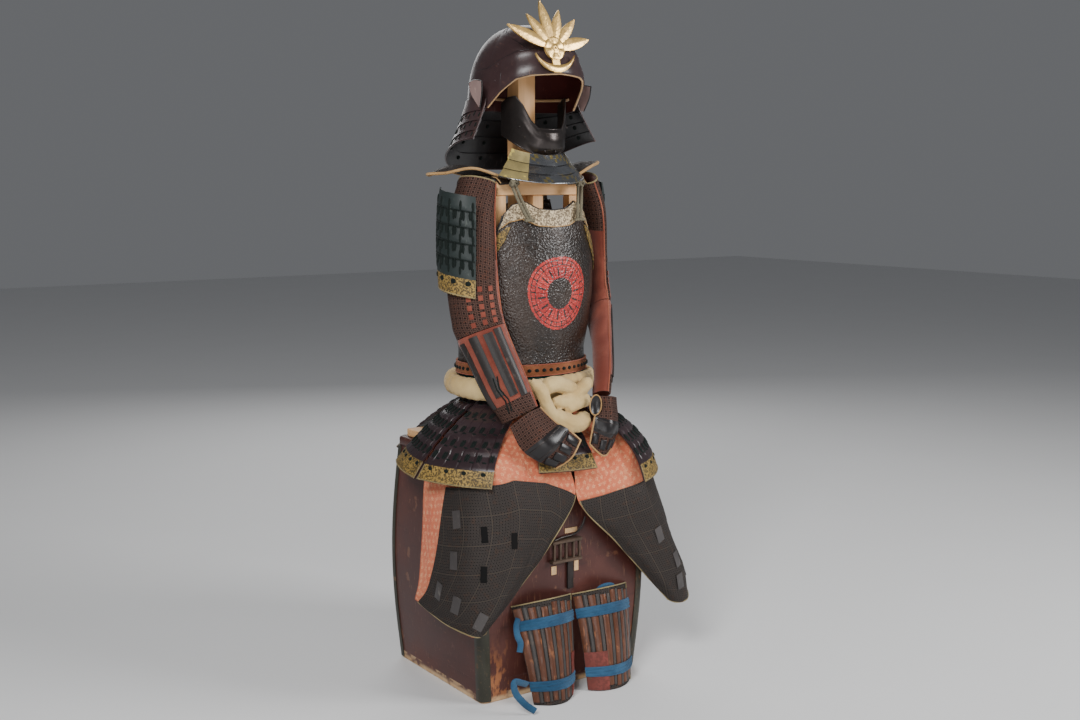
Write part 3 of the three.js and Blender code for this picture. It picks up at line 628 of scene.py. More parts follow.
def pebbled_leather(roundel):
    """Black-brown pebbled leather, glossy, with a painted wheel of rays on the chest."""
    m = Finish("pebbled_leather_wheel" if roundel else "pebbled_leather")
    grain = m.cells(240, feature="SMOOTH_F1")
    pits = m.cells(130)
    cloud = m.noise(11, 4).fade(0.35, 0.7)
    color = m.blend(cloud, (0.010, 0.006, 0.0042), (0.030, 0.017, 0.011))
    color = m.blend(grain.fade(0.45, 0.7) * 0.4, color, (0.045, 0.030, 0.021))
    if roundel:
        color = painted_wheel(m, color, grain)
    height = grain.fade(0.75, 0.05) + pits * 0.3
    normal = m.bump(height, 0.0013, 0.85)
    return m.done(color, grain * 0.2 + 0.18 + m.noise(30, 3) * 0.12, 0.0, normal, coat=0.05, gleam=0.5)


def painted_wheel(m, under, grain):
    """A generic wheel: two rows of wedge rays between plain rings, round a bare middle."""
    across, down, _ = m.axes(m.chart)
    x = across - WHEEL["across"] * MM
    y = down + WHEEL["down"] * MM
    radius = (x * x + y * y) ** 0.5
    turn = y.math("ARCTAN2", x) / TURN
    outer = WHEEL["outer"] * MM
    inner = WHEEL["inner"] * MM
    middle = mix(inner, outer, 0.56)
    step = radius.over(middle)
    rays = (turn * WHEEL["rays"] + step * 0.5).part()
    wedge = (rays - 0.5).size()
    edge = (radius / outer).fade(0.35, 1.0) * 0.1 + 0.36
    petal = wedge.under(edge)
    vein = wedge.under(0.035)

    def ring(at, half):
        return (radius - at).size().under(half)

    rings = ring(middle, 0.0016).high(ring(outer - 0.0035, 0.0016)).high(ring(inner + 0.003, 0.0015))
    inside = radius.under(outer) * radius.over(inner)
    paint = inside * (petal * (1 - vein)).high(rings)
    paint = paint * (1 - ring(outer - 0.007, 0.001).high(ring(middle + 0.0035, 0.0009)))
    worn = m.noise(85, 6, rough=0.75).fade(0.36, 0.52)
    mask = paint * (0.5 + worn * 0.5) * grain.fade(1.0, 0.45)
    red = m.blend(m.noise(22, 3).fade(0.3, 0.7), (0.36, 0.017, 0.016), (0.52, 0.040, 0.030))
    return m.blend(mask, under, red)


def speckled_leather(name, ground, speck, scale=1.0):
    """Tan leather printed all over with small dark specks."""
    m = Finish(name)
    blot = m.noise(230 * scale, 3, rough=0.6).fade(0.47, 0.53)
    dot = m.cells(170 * scale).fade(0.34, 0.24)
    wear = m.noise(16, 5).fade(0.35, 0.75)
    color = m.blend(wear, ground, [c * 0.55 for c in ground])
    color = m.blend(blot.high(dot) * 0.9, color, speck)
    normal = m.bump(m.noise(300, 3), 0.0004, 0.5)
    return m.done(color, wear * 0.2 + 0.5, 0.0, normal, gleam=0.3)


def mail(name, cloth, ring, pitch=7.0, panel=None):
    """Rings in offset rows on dark cloth, and the fine seams between its panels."""
    m = Finish(name)
    across, down, _ = m.axes(m.chart)
    size = 1 / (pitch * MM)
    total = None
    for shift, reach, strength in ((0.0, 0.34, 1.0), (0.5, 0.2, 0.75)):
        x = (across * size + shift).part() - 0.5
        y = (down * size + shift).part() - 0.5
        radius = (x * x + y * y) ** 0.5
        link = (radius - reach).size().fade(0.15, 0.05) * strength
        total = link if total is None else total.high(link)
    wear = m.noise(22, 5).fade(0.3, 0.75)
    rust = m.noise(90, 4).fade(0.52, 0.7)
    metal = m.blend(rust * 0.5, ring, [ring[0] * 1.7, ring[1] * 1.1, ring[2] * 0.8])
    under = m.blend(wear, cloth, [c * 1.8 for c in cloth])
    color = m.blend(total, under, metal)
    if panel:
        seams = [((axis / (panel * MM)).part() - 0.5).size().over(0.488) for axis in (across, down)]
        color = m.blend(seams[0].high(seams[1]) * 0.3, color, (0.15, 0.115, 0.08))
    normal = m.bump(total + m.noise(400, 2) * 0.2, 0.0016, 0.9)
    return m.done(color, 0.85 - total * 0.3, total * 0.4, normal, gleam=0.2)


def woven(name, color, dusty, thread=1.6, sheen=0.25, motif=None):
    """Plain woven cloth, faded in clouds."""
    m = Finish(name)
    across, down, _ = m.axes(m.chart)
    turns = TURN / (thread * MM)
    weave = (across * turns).sine() * 0.5 + (down * turns).sine() * 0.5
    faded = m.noise(14, 5).fade(0.35, 0.72)
    slub = m.noise((60, 900, 60), 2, m.chart)
    base = m.blend(faded, color, dusty)
    base = m.blend(slub.fade(0.55, 0.75) * 0.3, base, [c * 0.55 for c in color])
    if motif:
        base = motif(m, base, across, down)
    dirt = m.noise(5, 6).fade(0.6, 0.8)
    base = m.blend(dirt * 0.35, base, [c * 0.4 for c in color])
    normal = m.bump(weave * 0.5 + slub, 0.0006, 0.7)
    return m.done(base, faded * 0.1 + 0.78, 0.0, normal, sheen=sheen, gleam=0.15)


def blossoms(m, base, across, down):
    """Scattered pale five-petalled flowers, a common brocade ground."""
    pitch = 15 * MM
    row = (down / pitch).whole()
    x = (across / pitch + (row * 0.5).part()).part() - 0.5
    y = (down / pitch).part() - 0.5
    radius = (x * x + y * y) ** 0.5
    turn = y.math("ARCTAN2", x)
    petals = (turn * 5).sine() * 0.08 + 0.27
    flower = (petals - radius).fade(0.0, 0.06)
    heart = radius.fade(0.1, 0.06)
    leaf = m.noise(120, 3).fade(0.54, 0.6)
    worn = m.noise(70, 4).fade(0.35, 0.6)
    base = m.blend(leaf * 0.28, base, (0.78, 0.40, 0.20))
    base = m.blend(flower * (worn * 0.45 + 0.12), base, (0.80, 0.46, 0.25))
    return m.blend(heart * 0.45, base, (0.42, 0.10, 0.05))


def metal(name, color, roughness, metallic=0.85, flecks=None):
    m = Finish(name)
    cloud = m.noise(26, 5).fade(0.35, 0.7)
    pits = m.noise(240, 4).fade(0.6, 0.72)
    base = m.blend(cloud, color, [c * 0.6 for c in color])
    base = m.blend(pits * 0.6, base, (0.05, 0.035, 0.025))
    if flecks:
        across, down, _ = m.axes(m.chart)
        square = 9 * MM
        check = ((across / square).whole() + (down / square).whole()) * 0.5
        check = check.part().size().over(0.25)
        patches = m.noise(24, 4).fade(0.52, 0.58)
        base = m.blend(check * patches * 0.8, base, flecks)
    normal = m.bump(m.noise(140, 4) + pits * 0.4, 0.0005, 0.5)
    return m.done(base, cloud * 0.15 + roughness, metallic, normal)


def gilding():
    m = Finish("pale_gilding")
    worn = m.noise(34, 6, rough=0.7).fade(0.52, 0.7)
    color = m.blend(worn, (0.80, 0.52, 0.18), (0.52, 0.33, 0.12))
    hammered = m.cells(130, feature="SMOOTH_F1")
    normal = m.bump(hammered, 0.0006, 0.45)
    return m.done(color, worn * 0.25 + 0.33, 0.85 - worn * 0.4, normal)


def pine(name, stretch):
    """Plain pine, with its grain along the board."""
    m = Finish(name)
    grain = m.noise(stretch, 3, rough=0.6)
    lines = (grain * 34).sine() * 0.5 + 0.5
    color = m.blend(lines * 0.45, (0.82, 0.46, 0.20), (0.60, 0.30, 0.11))
    color = m.blend(m.noise(6, 4).fade(0.4, 0.75) * 0.4, color, (0.86, 0.58, 0.31))
    knots = m.cells(9).fade(0.09, 0.05)
    color = m.blend(knots * 0.7, color, (0.33, 0.16, 0.07))
    normal = m.bump(lines, 0.0002, 0.5)
    return m.done(color, grain * 0.15 + 0.46, 0.0, normal)


def chest_lacquer():
    """Dark red-brown lacquered boards, scratched, with worn feet."""
    m = Finish("chest_lacquer")
    x, y, z = m.axes()
    cloud = m.noise(5, 5).fade(0.35, 0.7)
    color = m.blend(cloud, (0.052, 0.016, 0.013), (0.098, 0.032, 0.024))
    streak = m.noise((14, 14, 90), 4).fade(0.55, 0.75)
    color = m.blend(streak * 0.4, color, (0.03, 0.012, 0.01))
    high = CHEST["height"] * MM
    bulge = (z / high * math.pi).sine() * (CHEST["bulge"] * MM)
    side = x.size() - (CHEST["half_x"] * MM + bulge)
    front = (y - CHEST["centre_y"] * MM).size() - (CHEST["half_y"] * MM + bulge)
    scratch = m.noise((320, 30, 26), 3).fade(0.63, 0.7)
    scratch = scratch.high(m.noise((28, 320, 34), 3).fade(0.65, 0.71))
    nick = m.noise(120, 6, rough=0.8).fade(0.66, 0.72)
    color = m.blend((scratch * 0.2).high(nick * 0.35), color, (0.42, 0.2, 0.1))
    rubbed = front.over(-0.003) * side.over(-0.07) * side.under(-0.022) * z.fade(0.17, 0.02)
    rubbed = rubbed * m.noise((70, 70, 30), 5).fade(0.45, 0.58)
    foot = z.fade(0.017, 0.006) * m.noise(34, 5).fade(0.3, 0.5)
    foot_edge = z.under(0.02) * m.noise(18, 4).fade(0.5, 0.6)
    color = m.blend(rubbed * 0.85, color, (0.36, 0.135, 0.05))
    worn = foot.high(foot_edge * 0.6)
    bare = m.blend(m.noise(50, 3), (0.55, 0.3, 0.14), (0.72, 0.55, 0.33))
    color = m.blend(worn, color, bare)
    seam = (z - 0.05).size().under(0.0011) + (z - high * 0.62).size().under(0.0006)
    normal = m.bump(cloud * 0.3 - scratch * 0.2 - seam - worn * 0.3, 0.0012, 0.6)
    return m.done(color, cloud * 0.14 + 0.38 + worn * 0.3, 0.0, normal, coat=0.12, gleam=0.3)


def braided(name, color):
    m = Finish(name)
    across, down, _ = m.axes(m.chart)
    twist_and_groove_shade = ((down * 900 + across * 1400).sine() * 0.5 + 0.5)
    # The grooves between the strands are painted darker where the bump sinks them: painted shade.
    base = m.blend(twist_and_groove_shade, [c * 0.55 for c in color], color)
    base = m.blend(m.noise(40, 3).fade(0.4, 0.7) * 0.4, base, [c * 0.6 for c in color])
    normal = m.bump(twist_and_groove_shade, 0.0007, 0.8)
    return m.done(base, 0.85, 0.0, normal, sheen=0.04, gleam=0.2)


def plain_floor(color):
    m = Finish("floor")
    base = m.blend(m.noise(3, 2), color, [c * 0.97 for c in color])
    return m.done(base, 0.7)


FINISHES = {}


def make_finishes(looks):
    """Every material of the armour, by its own short name."""
    purple = tuple(looks.lacquer)
    FINISHES.update({
        "lacquer": lacquer("purple_lacquer", purple, (0.10, 0.05, 0.035)),
        "dark_lacquer": lacquer("black_lacquer", (0.010, 0.0085, 0.009), (0.05, 0.04, 0.035), 0.3),
        "green_lacquer": lacquer("green_black_lacquer", (0.014, 0.020, 0.019), (0.06, 0.07, 0.06), 0.48),
        "lame_lacquer": lacquer("purple_black_lacquer", (0.024, 0.014, 0.016), (0.07, 0.05, 0.045), 0.3),
        "plate_lacquer": lacquer("plate_lacquer", (0.040, 0.035, 0.034), (0.11, 0.095, 0.085), 0.4),
        # Painted shade: the near-black of the open slots where thigh plates are lost
        "bare_black": woven("painted_slot_shade", (0.003, 0.003, 0.003), (0.006, 0.005, 0.005), 1.2, 0.0),
        "inner_lacquer": lacquer("red_inner_lacquer", (0.050, 0.009, 0.008), (0.09, 0.03, 0.02), 0.45),
        "ear_lacquer": lacquer("ear_lacquer", (0.24, 0.16, 0.145), (0.42, 0.30, 0.24), 0.36),
        "leather": pebbled_leather(False),
        "wheel_leather": pebbled_leather(True),
        "print": speckled_leather("printed_leather", (0.35, 0.225, 0.06), (0.045, 0.032, 0.016)),
        "pale_print": speckled_leather("pale_printed_leather", (0.66, 0.52, 0.32), (0.09, 0.06, 0.035),
                                       1.1),
        "mail": mail("mail_on_cloth", (0.003, 0.0026, 0.0025), (0.064, 0.053, 0.048), 6.2, 62),
        "brown_mail": mail("brown_mail", (0.013, 0.0065, 0.005), (0.090, 0.047, 0.036), 10.5),
        "hemp": woven("red_brown_hemp", tuple(looks.hemp), (0.25, 0.068, 0.043)),
        "band_leather": woven("orange_brown_leather", (0.17, 0.055, 0.022), (0.27, 0.10, 0.045), 1.1, 0.05),
        "brocade": woven("salmon_brocade", tuple(looks.brocade), (0.64, 0.19, 0.098), 1.4, 0.1, blossoms),
        "cream": woven("cream_sash_cloth", tuple(looks.sash), (0.50, 0.33, 0.13), 1.3, 0.15),
        "indigo": woven("indigo_cotton", tuple(looks.indigo), (0.036, 0.105, 0.19), 1.5, 0.1),
        "piping": woven("tan_piping", (0.36, 0.205, 0.08), (0.47, 0.29, 0.13), 1.2, 0.1),
        "lining": woven("cream_lining_edge", (0.50, 0.30, 0.14), (0.62, 0.42, 0.24), 1.2, 0.1),
        "khaki": woven("khaki_piping", (0.20, 0.155, 0.075), (0.30, 0.24, 0.12), 1.2, 0.1),
        "welt": woven("red_welt", (0.26, 0.065, 0.035), (0.36, 0.12, 0.07), 1.2, 0.1),
        "patch": speckled_leather("reddish_leather", (0.20, 0.045, 0.035), (0.11, 0.026, 0.02), 0.6),
        "iron": metal("dark_iron", (0.042, 0.035, 0.033), 0.28, 0.75),
        "brown_iron": metal("brown_iron", (0.10, 0.065, 0.045), 0.5, 0.5),
        "steel": metal("polished_steel", (0.34, 0.35, 0.37), 0.17, 0.95, (0.66, 0.50, 0.14)),
        "check": metal("checked_collar", (0.34, 0.27, 0.11), 0.45, 0.3, (0.70, 0.55, 0.13)),
        "brass": metal("worn_brass", (0.80, 0.52, 0.27), 0.45, 0.55),
        "gilt": gilding(),
        "upright_pine": pine("pine_upright", (30, 30, 1.8)),
        "level_pine": pine("pine_level", (1.8, 30, 30)),
        "chest": chest_lacquer(),
        "dark_splint": lacquer("dark_splint", (0.014, 0.011, 0.010), (0.09, 0.06, 0.045), 0.42),
        "strip": lacquer("corner_strip_lacquer", (0.022, 0.021, 0.014), (0.16, 0.085, 0.04), 0.38),
        "green_cord": braided("dark_green_cord", tuple(looks.lace)),
        "teal_cord": braided("teal_cord", (0.03, 0.13, 0.13)),
        "olive_cord": braided("olive_cord", (0.19, 0.165, 0.11)),
        "brown_splint": lacquer("brown_splint", (0.072, 0.025, 0.012), (0.34, 0.13, 0.05), 0.3),
        "grey_splint": lacquer("grey_splint", (0.034, 0.030, 0.028), (0.11, 0.08, 0.06), 0.34),
    })


# Sizes of the solids
CHEST = {"half_x": 210, "half_y": 183, "centre_y": 8, "height": 518, "bulge": 14, "wall": 12, "floor": 14,
         "corner": 14}
LID = {"low": 518.3, "high": 538, "half_x": 214, "half_y": 182, "centre_y": 3}
CUIRASS = {"centre_y": -15, "wall": 3.0, "hem": 700}
WHEEL = {"across": 5, "down": 182, "outer": 80, "inner": 34, "rays": 15}
HELMET = {"centre_y": -30, "half_x": 118, "half_y": 132, "top": 1458, "wall": 3.0}

BODY_TABLE = {
    "z": [655, 700, 752, 815, 880, 950, 1010, 1090],
    "half_x": [132, 150, 148, 160, 168, 170, 163, 146],
    "front": [106, 124, 124, 134, 139, 138, 131, 118],
    "back": [98, 112, 110, 116, 119, 120, 117, 108],
}
FRONT_REACH = [(0, 89.8), (905, 89.8), (950, 68), (1000, 52), (1040, 45), (1090, 41)]
FRONT_TOP = [(0, 1062), (0.3, 1065), (0.62, 1081), (0.84, 1074), (1, 1048)]
BACK_REACH = [(0, 89.6), (905, 89.6), (950, 72), (1000, 60), (1090, 56)]


def on_body(z, degrees, grow=0.0):
    """A point on the body's outline. The angle is 0 at the front middle and 180 at the back."""
    angle = np.radians(degrees)
    front = np.interp(z, BODY_TABLE["z"], BODY_TABLE["front"])
    back = np.interp(z, BODY_TABLE["z"], BODY_TABLE["back"])
    depth = np.where(np.cos(angle) > 0, front, back) + grow
    x = (np.interp(z, BODY_TABLE["z"], BODY_TABLE["half_x"]) + grow) * np.sin(angle)
    return points(x, CUIRASS["centre_y"] - depth * np.cos(angle), z)


def front_plate(u, w):
    across = 2 * w - 1
    z = mix(lookup(FRONT_TOP, np.abs(across)), CUIRASS["hem"], u)
    return on_body(z, across * lookup(FRONT_REACH, z))


def back_plate(u, w):
    across = 2 * w - 1
    z = mix(1082 - 10 * (1 - across * across), CUIRASS["hem"], u)
    return on_body(z, 180 + across * lookup(BACK_REACH, z))


def ring_at(low, high, grow_low, grow_high):
    return lambda u, w: on_body(mix(high, low, u), 360 * w, mix(grow_high, grow_low, u))


# Lames in a tasset or a shoulder guard
LAMES = 5


def lame_rows(end):
    gap = 0.012 * end
    rows = []
    for i in range(LAMES):
        top = mix(0, end, i / LAMES)
        rows.extend([top + gap if i else top, mix(0, end, (i + 1) / LAMES)])
    return rows


def lame_relief(swell, end, foot):
    """Each lame swells towards its lower edge, and the foot stands proud all over."""

    def relief(u, w):
        place = clamp(u / end) * LAMES
        part = place - np.floor(np.minimum(place, LAMES - 1e-6))
        lames = swell * np.where(part < 0.015, 0, part)
        return np.where(u > end + 0.008, foot, lames)

    return relief


# What a user may change
class ArmourLooks(bpy.types.PropertyGroup):
    lacquer: FloatVectorProperty(
        name="Lacquer", description="Colour of the helmet and the lames", subtype="COLOR",
        default=(0.031, 0.0165, 0.017), min=0.0, max=1.0)
    hemp: FloatVectorProperty(
        name="Sleeve cloth", description="Colour of the sleeves' hemp", subtype="COLOR",
        default=(0.145, 0.031, 0.019), min=0.0, max=1.0)
    brocade: FloatVectorProperty(
        name="Brocade", description="Ground colour of the thigh guards", subtype="COLOR",
        default=(0.58, 0.135, 0.066), min=0.0, max=1.0)
    sash: FloatVectorProperty(
        name="Sash", description="Colour of the padded sash", subtype="COLOR",
        default=(0.64, 0.47, 0.22), min=0.0, max=1.0)
    indigo: FloatVectorProperty(
        name="Indigo", description="Colour of the shin guards' ties", subtype="COLOR",
        default=(0.014, 0.053, 0.108), min=0.0, max=1.0)
    lace: FloatVectorProperty(
        name="Laces", description="Colour of the laces on the lames", subtype="COLOR",
        default=(0.006, 0.011, 0.009), min=0.0, max=1.0)


class ArmourSizes(bpy.types.PropertyGroup):
    lace_pairs: IntProperty(
        name="Lace pairs", description="Pairs of laces across a shoulder guard", default=7, min=2, max=14)
    waist_knots: IntProperty(
        name="Waist knots", description="Knots round the waist band", default=56, min=12, max=90)
    roll: FloatProperty(
        name="Edge roll", description="Radius of the rolled leather edges, in metres", default=0.0022,
        min=0.001, max=0.004, unit="LENGTH")


UNDOABLE = {"REGISTER", "UNDO"}


# Stage
class ARMOUR_OT_stage(bpy.types.Operator):
    """Adds the camera, the lights and the floor"""

    bl_idname = "armour.stage"
    bl_label = "Stage"
    bl_options = UNDOABLE

    def execute(self, context):
        add_camera(context.scene)
        add_lights(context.scene)
        add_floor()
        return {"FINISHED"}


def add_camera(scene):
    turn = math.radians(CAMERA_TURN)
    dip = math.radians(CAMERA_DIP)
    forward = Vector((math.sin(turn) * math.cos(dip), math.cos(turn) * math.cos(dip), -math.sin(dip)))
    data = bpy.data.cameras.new("camera")
    data.sensor_width = SENSOR
    data.lens = SENSOR * FOCAL_PIXELS / PHOTO_WIDTH
    camera = bpy.data.objects.new("camera", data)
    camera.location = Vector(CAMERA_PLACE) * MM
    camera.rotation_euler = forward.to_track_quat("-Z", "Y").to_euler()
    scene.collection.objects.link(camera)
    scene.camera = camera


LIGHTS = [
    {"name": "key", "place": (-2.6, -2.2, 3.0), "power": 140, "size": 1.3},
    {"name": "fill", "place": (2.3, -2.9, 2.1), "power": 125, "size": 1.5},
    {"name": "rim", "place": (1.4, 2.8, 2.4), "power": 40, "size": 2.2},
    {"name": "low", "place": (-1.6, -3.0, 0.7), "power": 24, "size": 1.4},
]


LIGHT_AIM = (0, 0, 0.8)
SKY = (0.72, 0.74, 0.78, 1)
SKY_STRENGTH = 0.19


def add_lights(scene):
    aim = Vector(LIGHT_AIM)
    for row in LIGHTS:
        data = bpy.data.lights.new(row["name"], "AREA")
        data.energy = row["power"]
        data.size = row["size"]
        light = bpy.data.objects.new(row["name"], data)
        light.location = row["place"]
        light.rotation_euler = (aim - light.location).to_track_quat("-Z", "Y").to_euler()
        scene.collection.objects.link(light)
    world = scene.world or bpy.data.worlds.new("world")
    scene.world = world
    world.use_nodes = True
    background = world.node_tree.nodes["Background"]
    background.inputs[0].default_value = SKY
    background.inputs[1].default_value = SKY_STRENGTH


# Half the floor's side, in metres
FLOOR_HALF = 12.0
FLOOR_COLOR = (0.78, 0.78, 0.78)


def add_floor():
    mesh = bpy.data.meshes.new("floor")
    half = FLOOR_HALF
    mesh.from_pydata([(-half, -half, 0), (half, -half, 0), (half, half, 0), (-half, half, 0)], [],
                     [(0, 1, 2, 3)])
    floor = bpy.data.objects.new("floor", mesh)
    floor.data.materials.append(plain_floor(FLOOR_COLOR))
    bpy.context.scene.collection.objects.link(floor)


# Chest and stand
class ARMOUR_OT_chest(bpy.types.Operator):
    """Builds the lacquered chest, its lid, lock and brass plates"""

    bl_idname = "armour.chest"
    bl_label = "Chest"
    bl_options = UNDOABLE

    def execute(self, context):
        build_chest()
        return {"FINISHED"}


def chest_outline(z, inset):
    swell = CHEST["bulge"] * math.sin(math.pi * clamp(z, 0, CHEST["height"]) / CHEST["height"]) - inset
    radius = CHEST["corner"] - inset * 0.6
    return rounded_outline(CHEST["half_x"] + swell, CHEST["half_y"] + swell, CHEST["centre_y"], radius, z)


def build_chest():
    outer = [(0, 2), (2, 0), *((z, 0) for z in np.linspace(20, 500, 22)), (CHEST["height"], 0)]
    inner = [(z, CHEST["wall"]) for z in (CHEST["height"], 400, 259, 120, CHEST["floor"])]
    outlines = [chest_outline(z, inset) for z, inset in outer + inner]
    loft("chest_body_boards", outlines, "chest_lacquer", "chest", ["chest_body"], 50)
    rows = [(LID["low"], 2), (LID["low"] + 2, 0.5), (LID["low"] + 4, 0), (LID["high"] - 5, 0),
            (LID["high"] - 2, 1.2), (LID["high"], 4)]
    lid = [rounded_outline(LID["half_x"] - i, LID["half_y"] - i, LID["centre_y"], 16, z) for z, i in rows]
    loft("chest_lid_board", lid, "chest_lacquer", "chest", ["chest_lid"], 50)
    build_corner_strips()
    build_lock()


def build_corner_strips():
    """A dark strip wraps each upright corner of the chest."""
    radius = CHEST["corner"]
    for name, sign_x, sign_y in (("front_right", -1, -1), ("front_left", 1, -1), ("back_right", -1, 1),
                                 ("back_left", 1, 1)):

        def wrap(u, w, sign_x=sign_x, sign_y=sign_y):
            z = mix(5, CHEST["height"] - 3, u)
            swell = CHEST["bulge"] * np.sin(math.pi * z / CHEST["height"])
            angle = math.pi / 2 * clamp((w - 0.3) / 0.4)
            x = CHEST["half_x"] + swell - radius * (1 - np.sin(angle)) - np.maximum(0.3 - w, 0) / 0.3 * 8
            y = CHEST["half_y"] + swell - radius * (1 - np.cos(angle)) - np.maximum(w - 0.7, 0) / 0.3 * 8
            return points(sign_x * x, CHEST["centre_y"] + sign_y * y, z)

        columns = [0, 0.15, *np.linspace(0.3, 0.7, 9), 0.85, 1]
        wall(f"chest_corner_strip_{name}", wrap, even(0.04), columns, "chest_lacquer", "strip",
             thick=1.8, lift=0.1, side=sign_x * sign_y,
             relief=lambda u, w: 0.5 * np.sin(math.pi * clamp(w, 0.02, 0.98)))


LOCK = {"bars": (-40, -24, -8, 12, 28), "bar": 5, "bar_z": (296, 342), "rails": (292, 336), "rail": 8,
        "rail_x": (-44, 36), "hasp_x": (3, 19), "hasp_z": (227, 291.5)}
# Middle across, middle height, width and height
BRASS_PLATES = ((17, 358, 34, 12), (-31, 274, 14, 20), (30, 277, 12, 26))


def build_lock():
    face = CHEST["centre_y"] - CHEST["half_y"] - CHEST["bulge"] - SEAM - 0.1
    (low, high), (start, end) = LOCK["bar_z"], LOCK["rail_x"]
    bars = [block_parts((x, face - 14, low), (x + LOCK["bar"], face - 7, high), 1) for x in LOCK["bars"]]
    rails = [block_parts((start, face - 16, z), (end, face - 0.2, z + LOCK["rail"]), 1.4)
             for z in LOCK["rails"]]
    make_piece("chest_lock_frame", *gather(bars + rails), "iron", "brown_iron", ["chest_lock"], 40)
    bail = [(-43, face - 6, 341), (-12, face - 3, 346), (22, face - 2.6, 349), (42, face - 2.6, 362),
            (53, face - 2.4, 384)]
    tubes("chest_lock_bail", [curve(bail, 30)], 2.4, "iron", "iron", 10)
    (start, end), (low, high) = LOCK["hasp_x"], LOCK["hasp_z"]
    strap = block_parts((start, face - 6, low), (end, face - 0.2, high), 1.2)
    make_piece("chest_hasp_strap", *strap, "iron", "iron", ["chest_hasp"], 40)
    for n, (x, z, wide, tall) in enumerate(BRASS_PLATES):
        swell = CHEST["bulge"] * math.sin(math.pi * z / CHEST["height"])
        front = CHEST["centre_y"] - CHEST["half_y"] - swell
        low = (x - wide / 2, front - 1.6, z - tall / 2)
        high = (x + wide / 2, front + 0.2, z + tall / 2)
        make_piece(f"brass_plate_{n + 1}", *block_parts(low, high, 0.6), "iron", "brass", (), 40)


class ARMOUR_OT_stand(bpy.types.Operator):
    """Builds the pine stand"""

    bl_idname = "armour.stand"
    bl_label = "Stand"
    bl_options = UNDOABLE

    def execute(self, context):
        build_stand()
        return {"FINISHED"}


BASE_LOW = LID["high"] + SEAM
BASE_HIGH = BASE_LOW + 18
HEAD_LOW = 1378
SLATS = ((-110, 26), (-14, 28), (84, 26))
# Two opposite corners of each block: the post and the slats, then base, rails, spacers and head block
STAND_UPRIGHTS = [((-22.5, -40.5, BASE_HIGH), (22.5, 4.5, HEAD_LOW)),
                  *(((low, -84, 796), (low + wide, -60, 1094)) for low, wide in SLATS)]
STAND_LEVELS = [((-200, -150, BASE_LOW), (200, 162, BASE_HIGH)), ((-108, -86, 1094), (108, -58, 1126)),
                ((-110, -84, 770), (110, -60, 796)), ((-20, -61, 772), (20, -40, 794)),
                ((-20, -61, 1096), (20, -40, 1124)), ((-60, -74, HEAD_LOW), (60, 30, 1417))]


def build_stand():
    for name, blocks, look in (("uprights", STAND_UPRIGHTS, "upright_pine"),
                               ("boards", STAND_LEVELS, "level_pine")):
        parts = gather([block_parts(*ends) for ends in blocks])
        make_piece(f"stand_{name}", *parts, "pine", look, ["stand"], 40)


# Cuirass
class ARMOUR_OT_cuirass(bpy.types.Operator):
    """Builds the chest and back plates, their bands and the waist"""

    bl_idname = "armour.cuirass"
    bl_label = "Cuirass"
    bl_options = UNDOABLE

    def execute(self, context):
        sizes = context.scene.armour_sizes
        roll = sizes.roll / MM
        build_plates(roll)
        build_side_tie()
        build_waist(sizes.waist_knots)
        return {"FINISHED"}


def build_plates(roll):
    wall("cuirass_chest", front_plate, even(0.02), even(0.016), "leather",
         "wheel_leather", thick=3, replaces=["cuirass_front"])
    wall("cuirass_rear", back_plate, even(0.03), even(0.02), "leather", "leather",
         thick=3, replaces=["cuirass_back"])
    wall("printed_chest_band", front_plate, fine([0.004, 0.1], 0.008), fine([0.02, 0.98], 0.016),
         "printed_leather", "pale_print", lift=CUIRASS["wall"] + 0.6, replaces=["chest_band"])
    for side, low, high in (("right", 0.012, 0.111), ("left", 0.889, 0.988)):
        rows, columns = fine([0.13, 0.4], 0.015), fine([low, high], 0.012)
        wall(f"printed_armhole_strip_{side}", front_plate, rows, columns, "printed_leather", "print",
             lift=CUIRASS["wall"] + 1.0, replaces=[f"armhole_strip_{side}"])
    edges = [line_on(front_plate, [0.002, 0.002], [0.0, 1.0], 2.6, 1, 90)]
    edges += [line_on(front_plate, [0.0, 0.45], [w, w], 2.2, 1, 50) for w in (0.004, 0.996)]
    edges += [line_on(back_plate, [0.002, 0.002], [0.0, 1.0], 2.6, 1, 80)]
    tubes("cuirass_rolled_edges", edges, roll, "leather", "dark_lacquer", 8)
    cords_on("chest_band_piping", front_plate, [([0.1, 0.1], [0.04, 0.96])], 6.2, 80, 1.2, "leather",
             "piping", 6)


# Height and turn of the bow under the right arm
SIDE_TIE = (881, -52)


def build_side_tie():
    """The small bow that ties the two plates under the right arm."""
    z, degrees = SIDE_TIE
    centre = on_body(z, degrees, 5.4)
    along = unit(on_body(z, degrees + 2) - on_body(z, degrees - 2))
    turn = round_turn(28)[:, None]
    up = np.array([0, 0, 1.0])
    loops = [centre + along * side * (9 + 8 * np.cos(turn)) + up * (5 * np.sin(turn) + 3 * side)
             for side in (-1, 1)]
    tubes("side_tie_loops", loops, 1.9, "cord", "teal_cord", 8, closed=True)
    ends = []
    for side in (-1, 1):
        line = [centre, centre + along * side * 5 - up * 9, centre + along * side * 8 - up * 22]
        ends.append(curve(line, 14))
    tubes("side_tie_ends", ends, 1.7, "cord", "teal_cord", 8)


# Lower edge, upper edge and how far each stands out from the body's outline
WAIST_BAND = (702, 728, 4.4, 4.4)
WAIST_LACES = (649.8, 699.5, -5, -2.8)
LACE_RIBS = 96


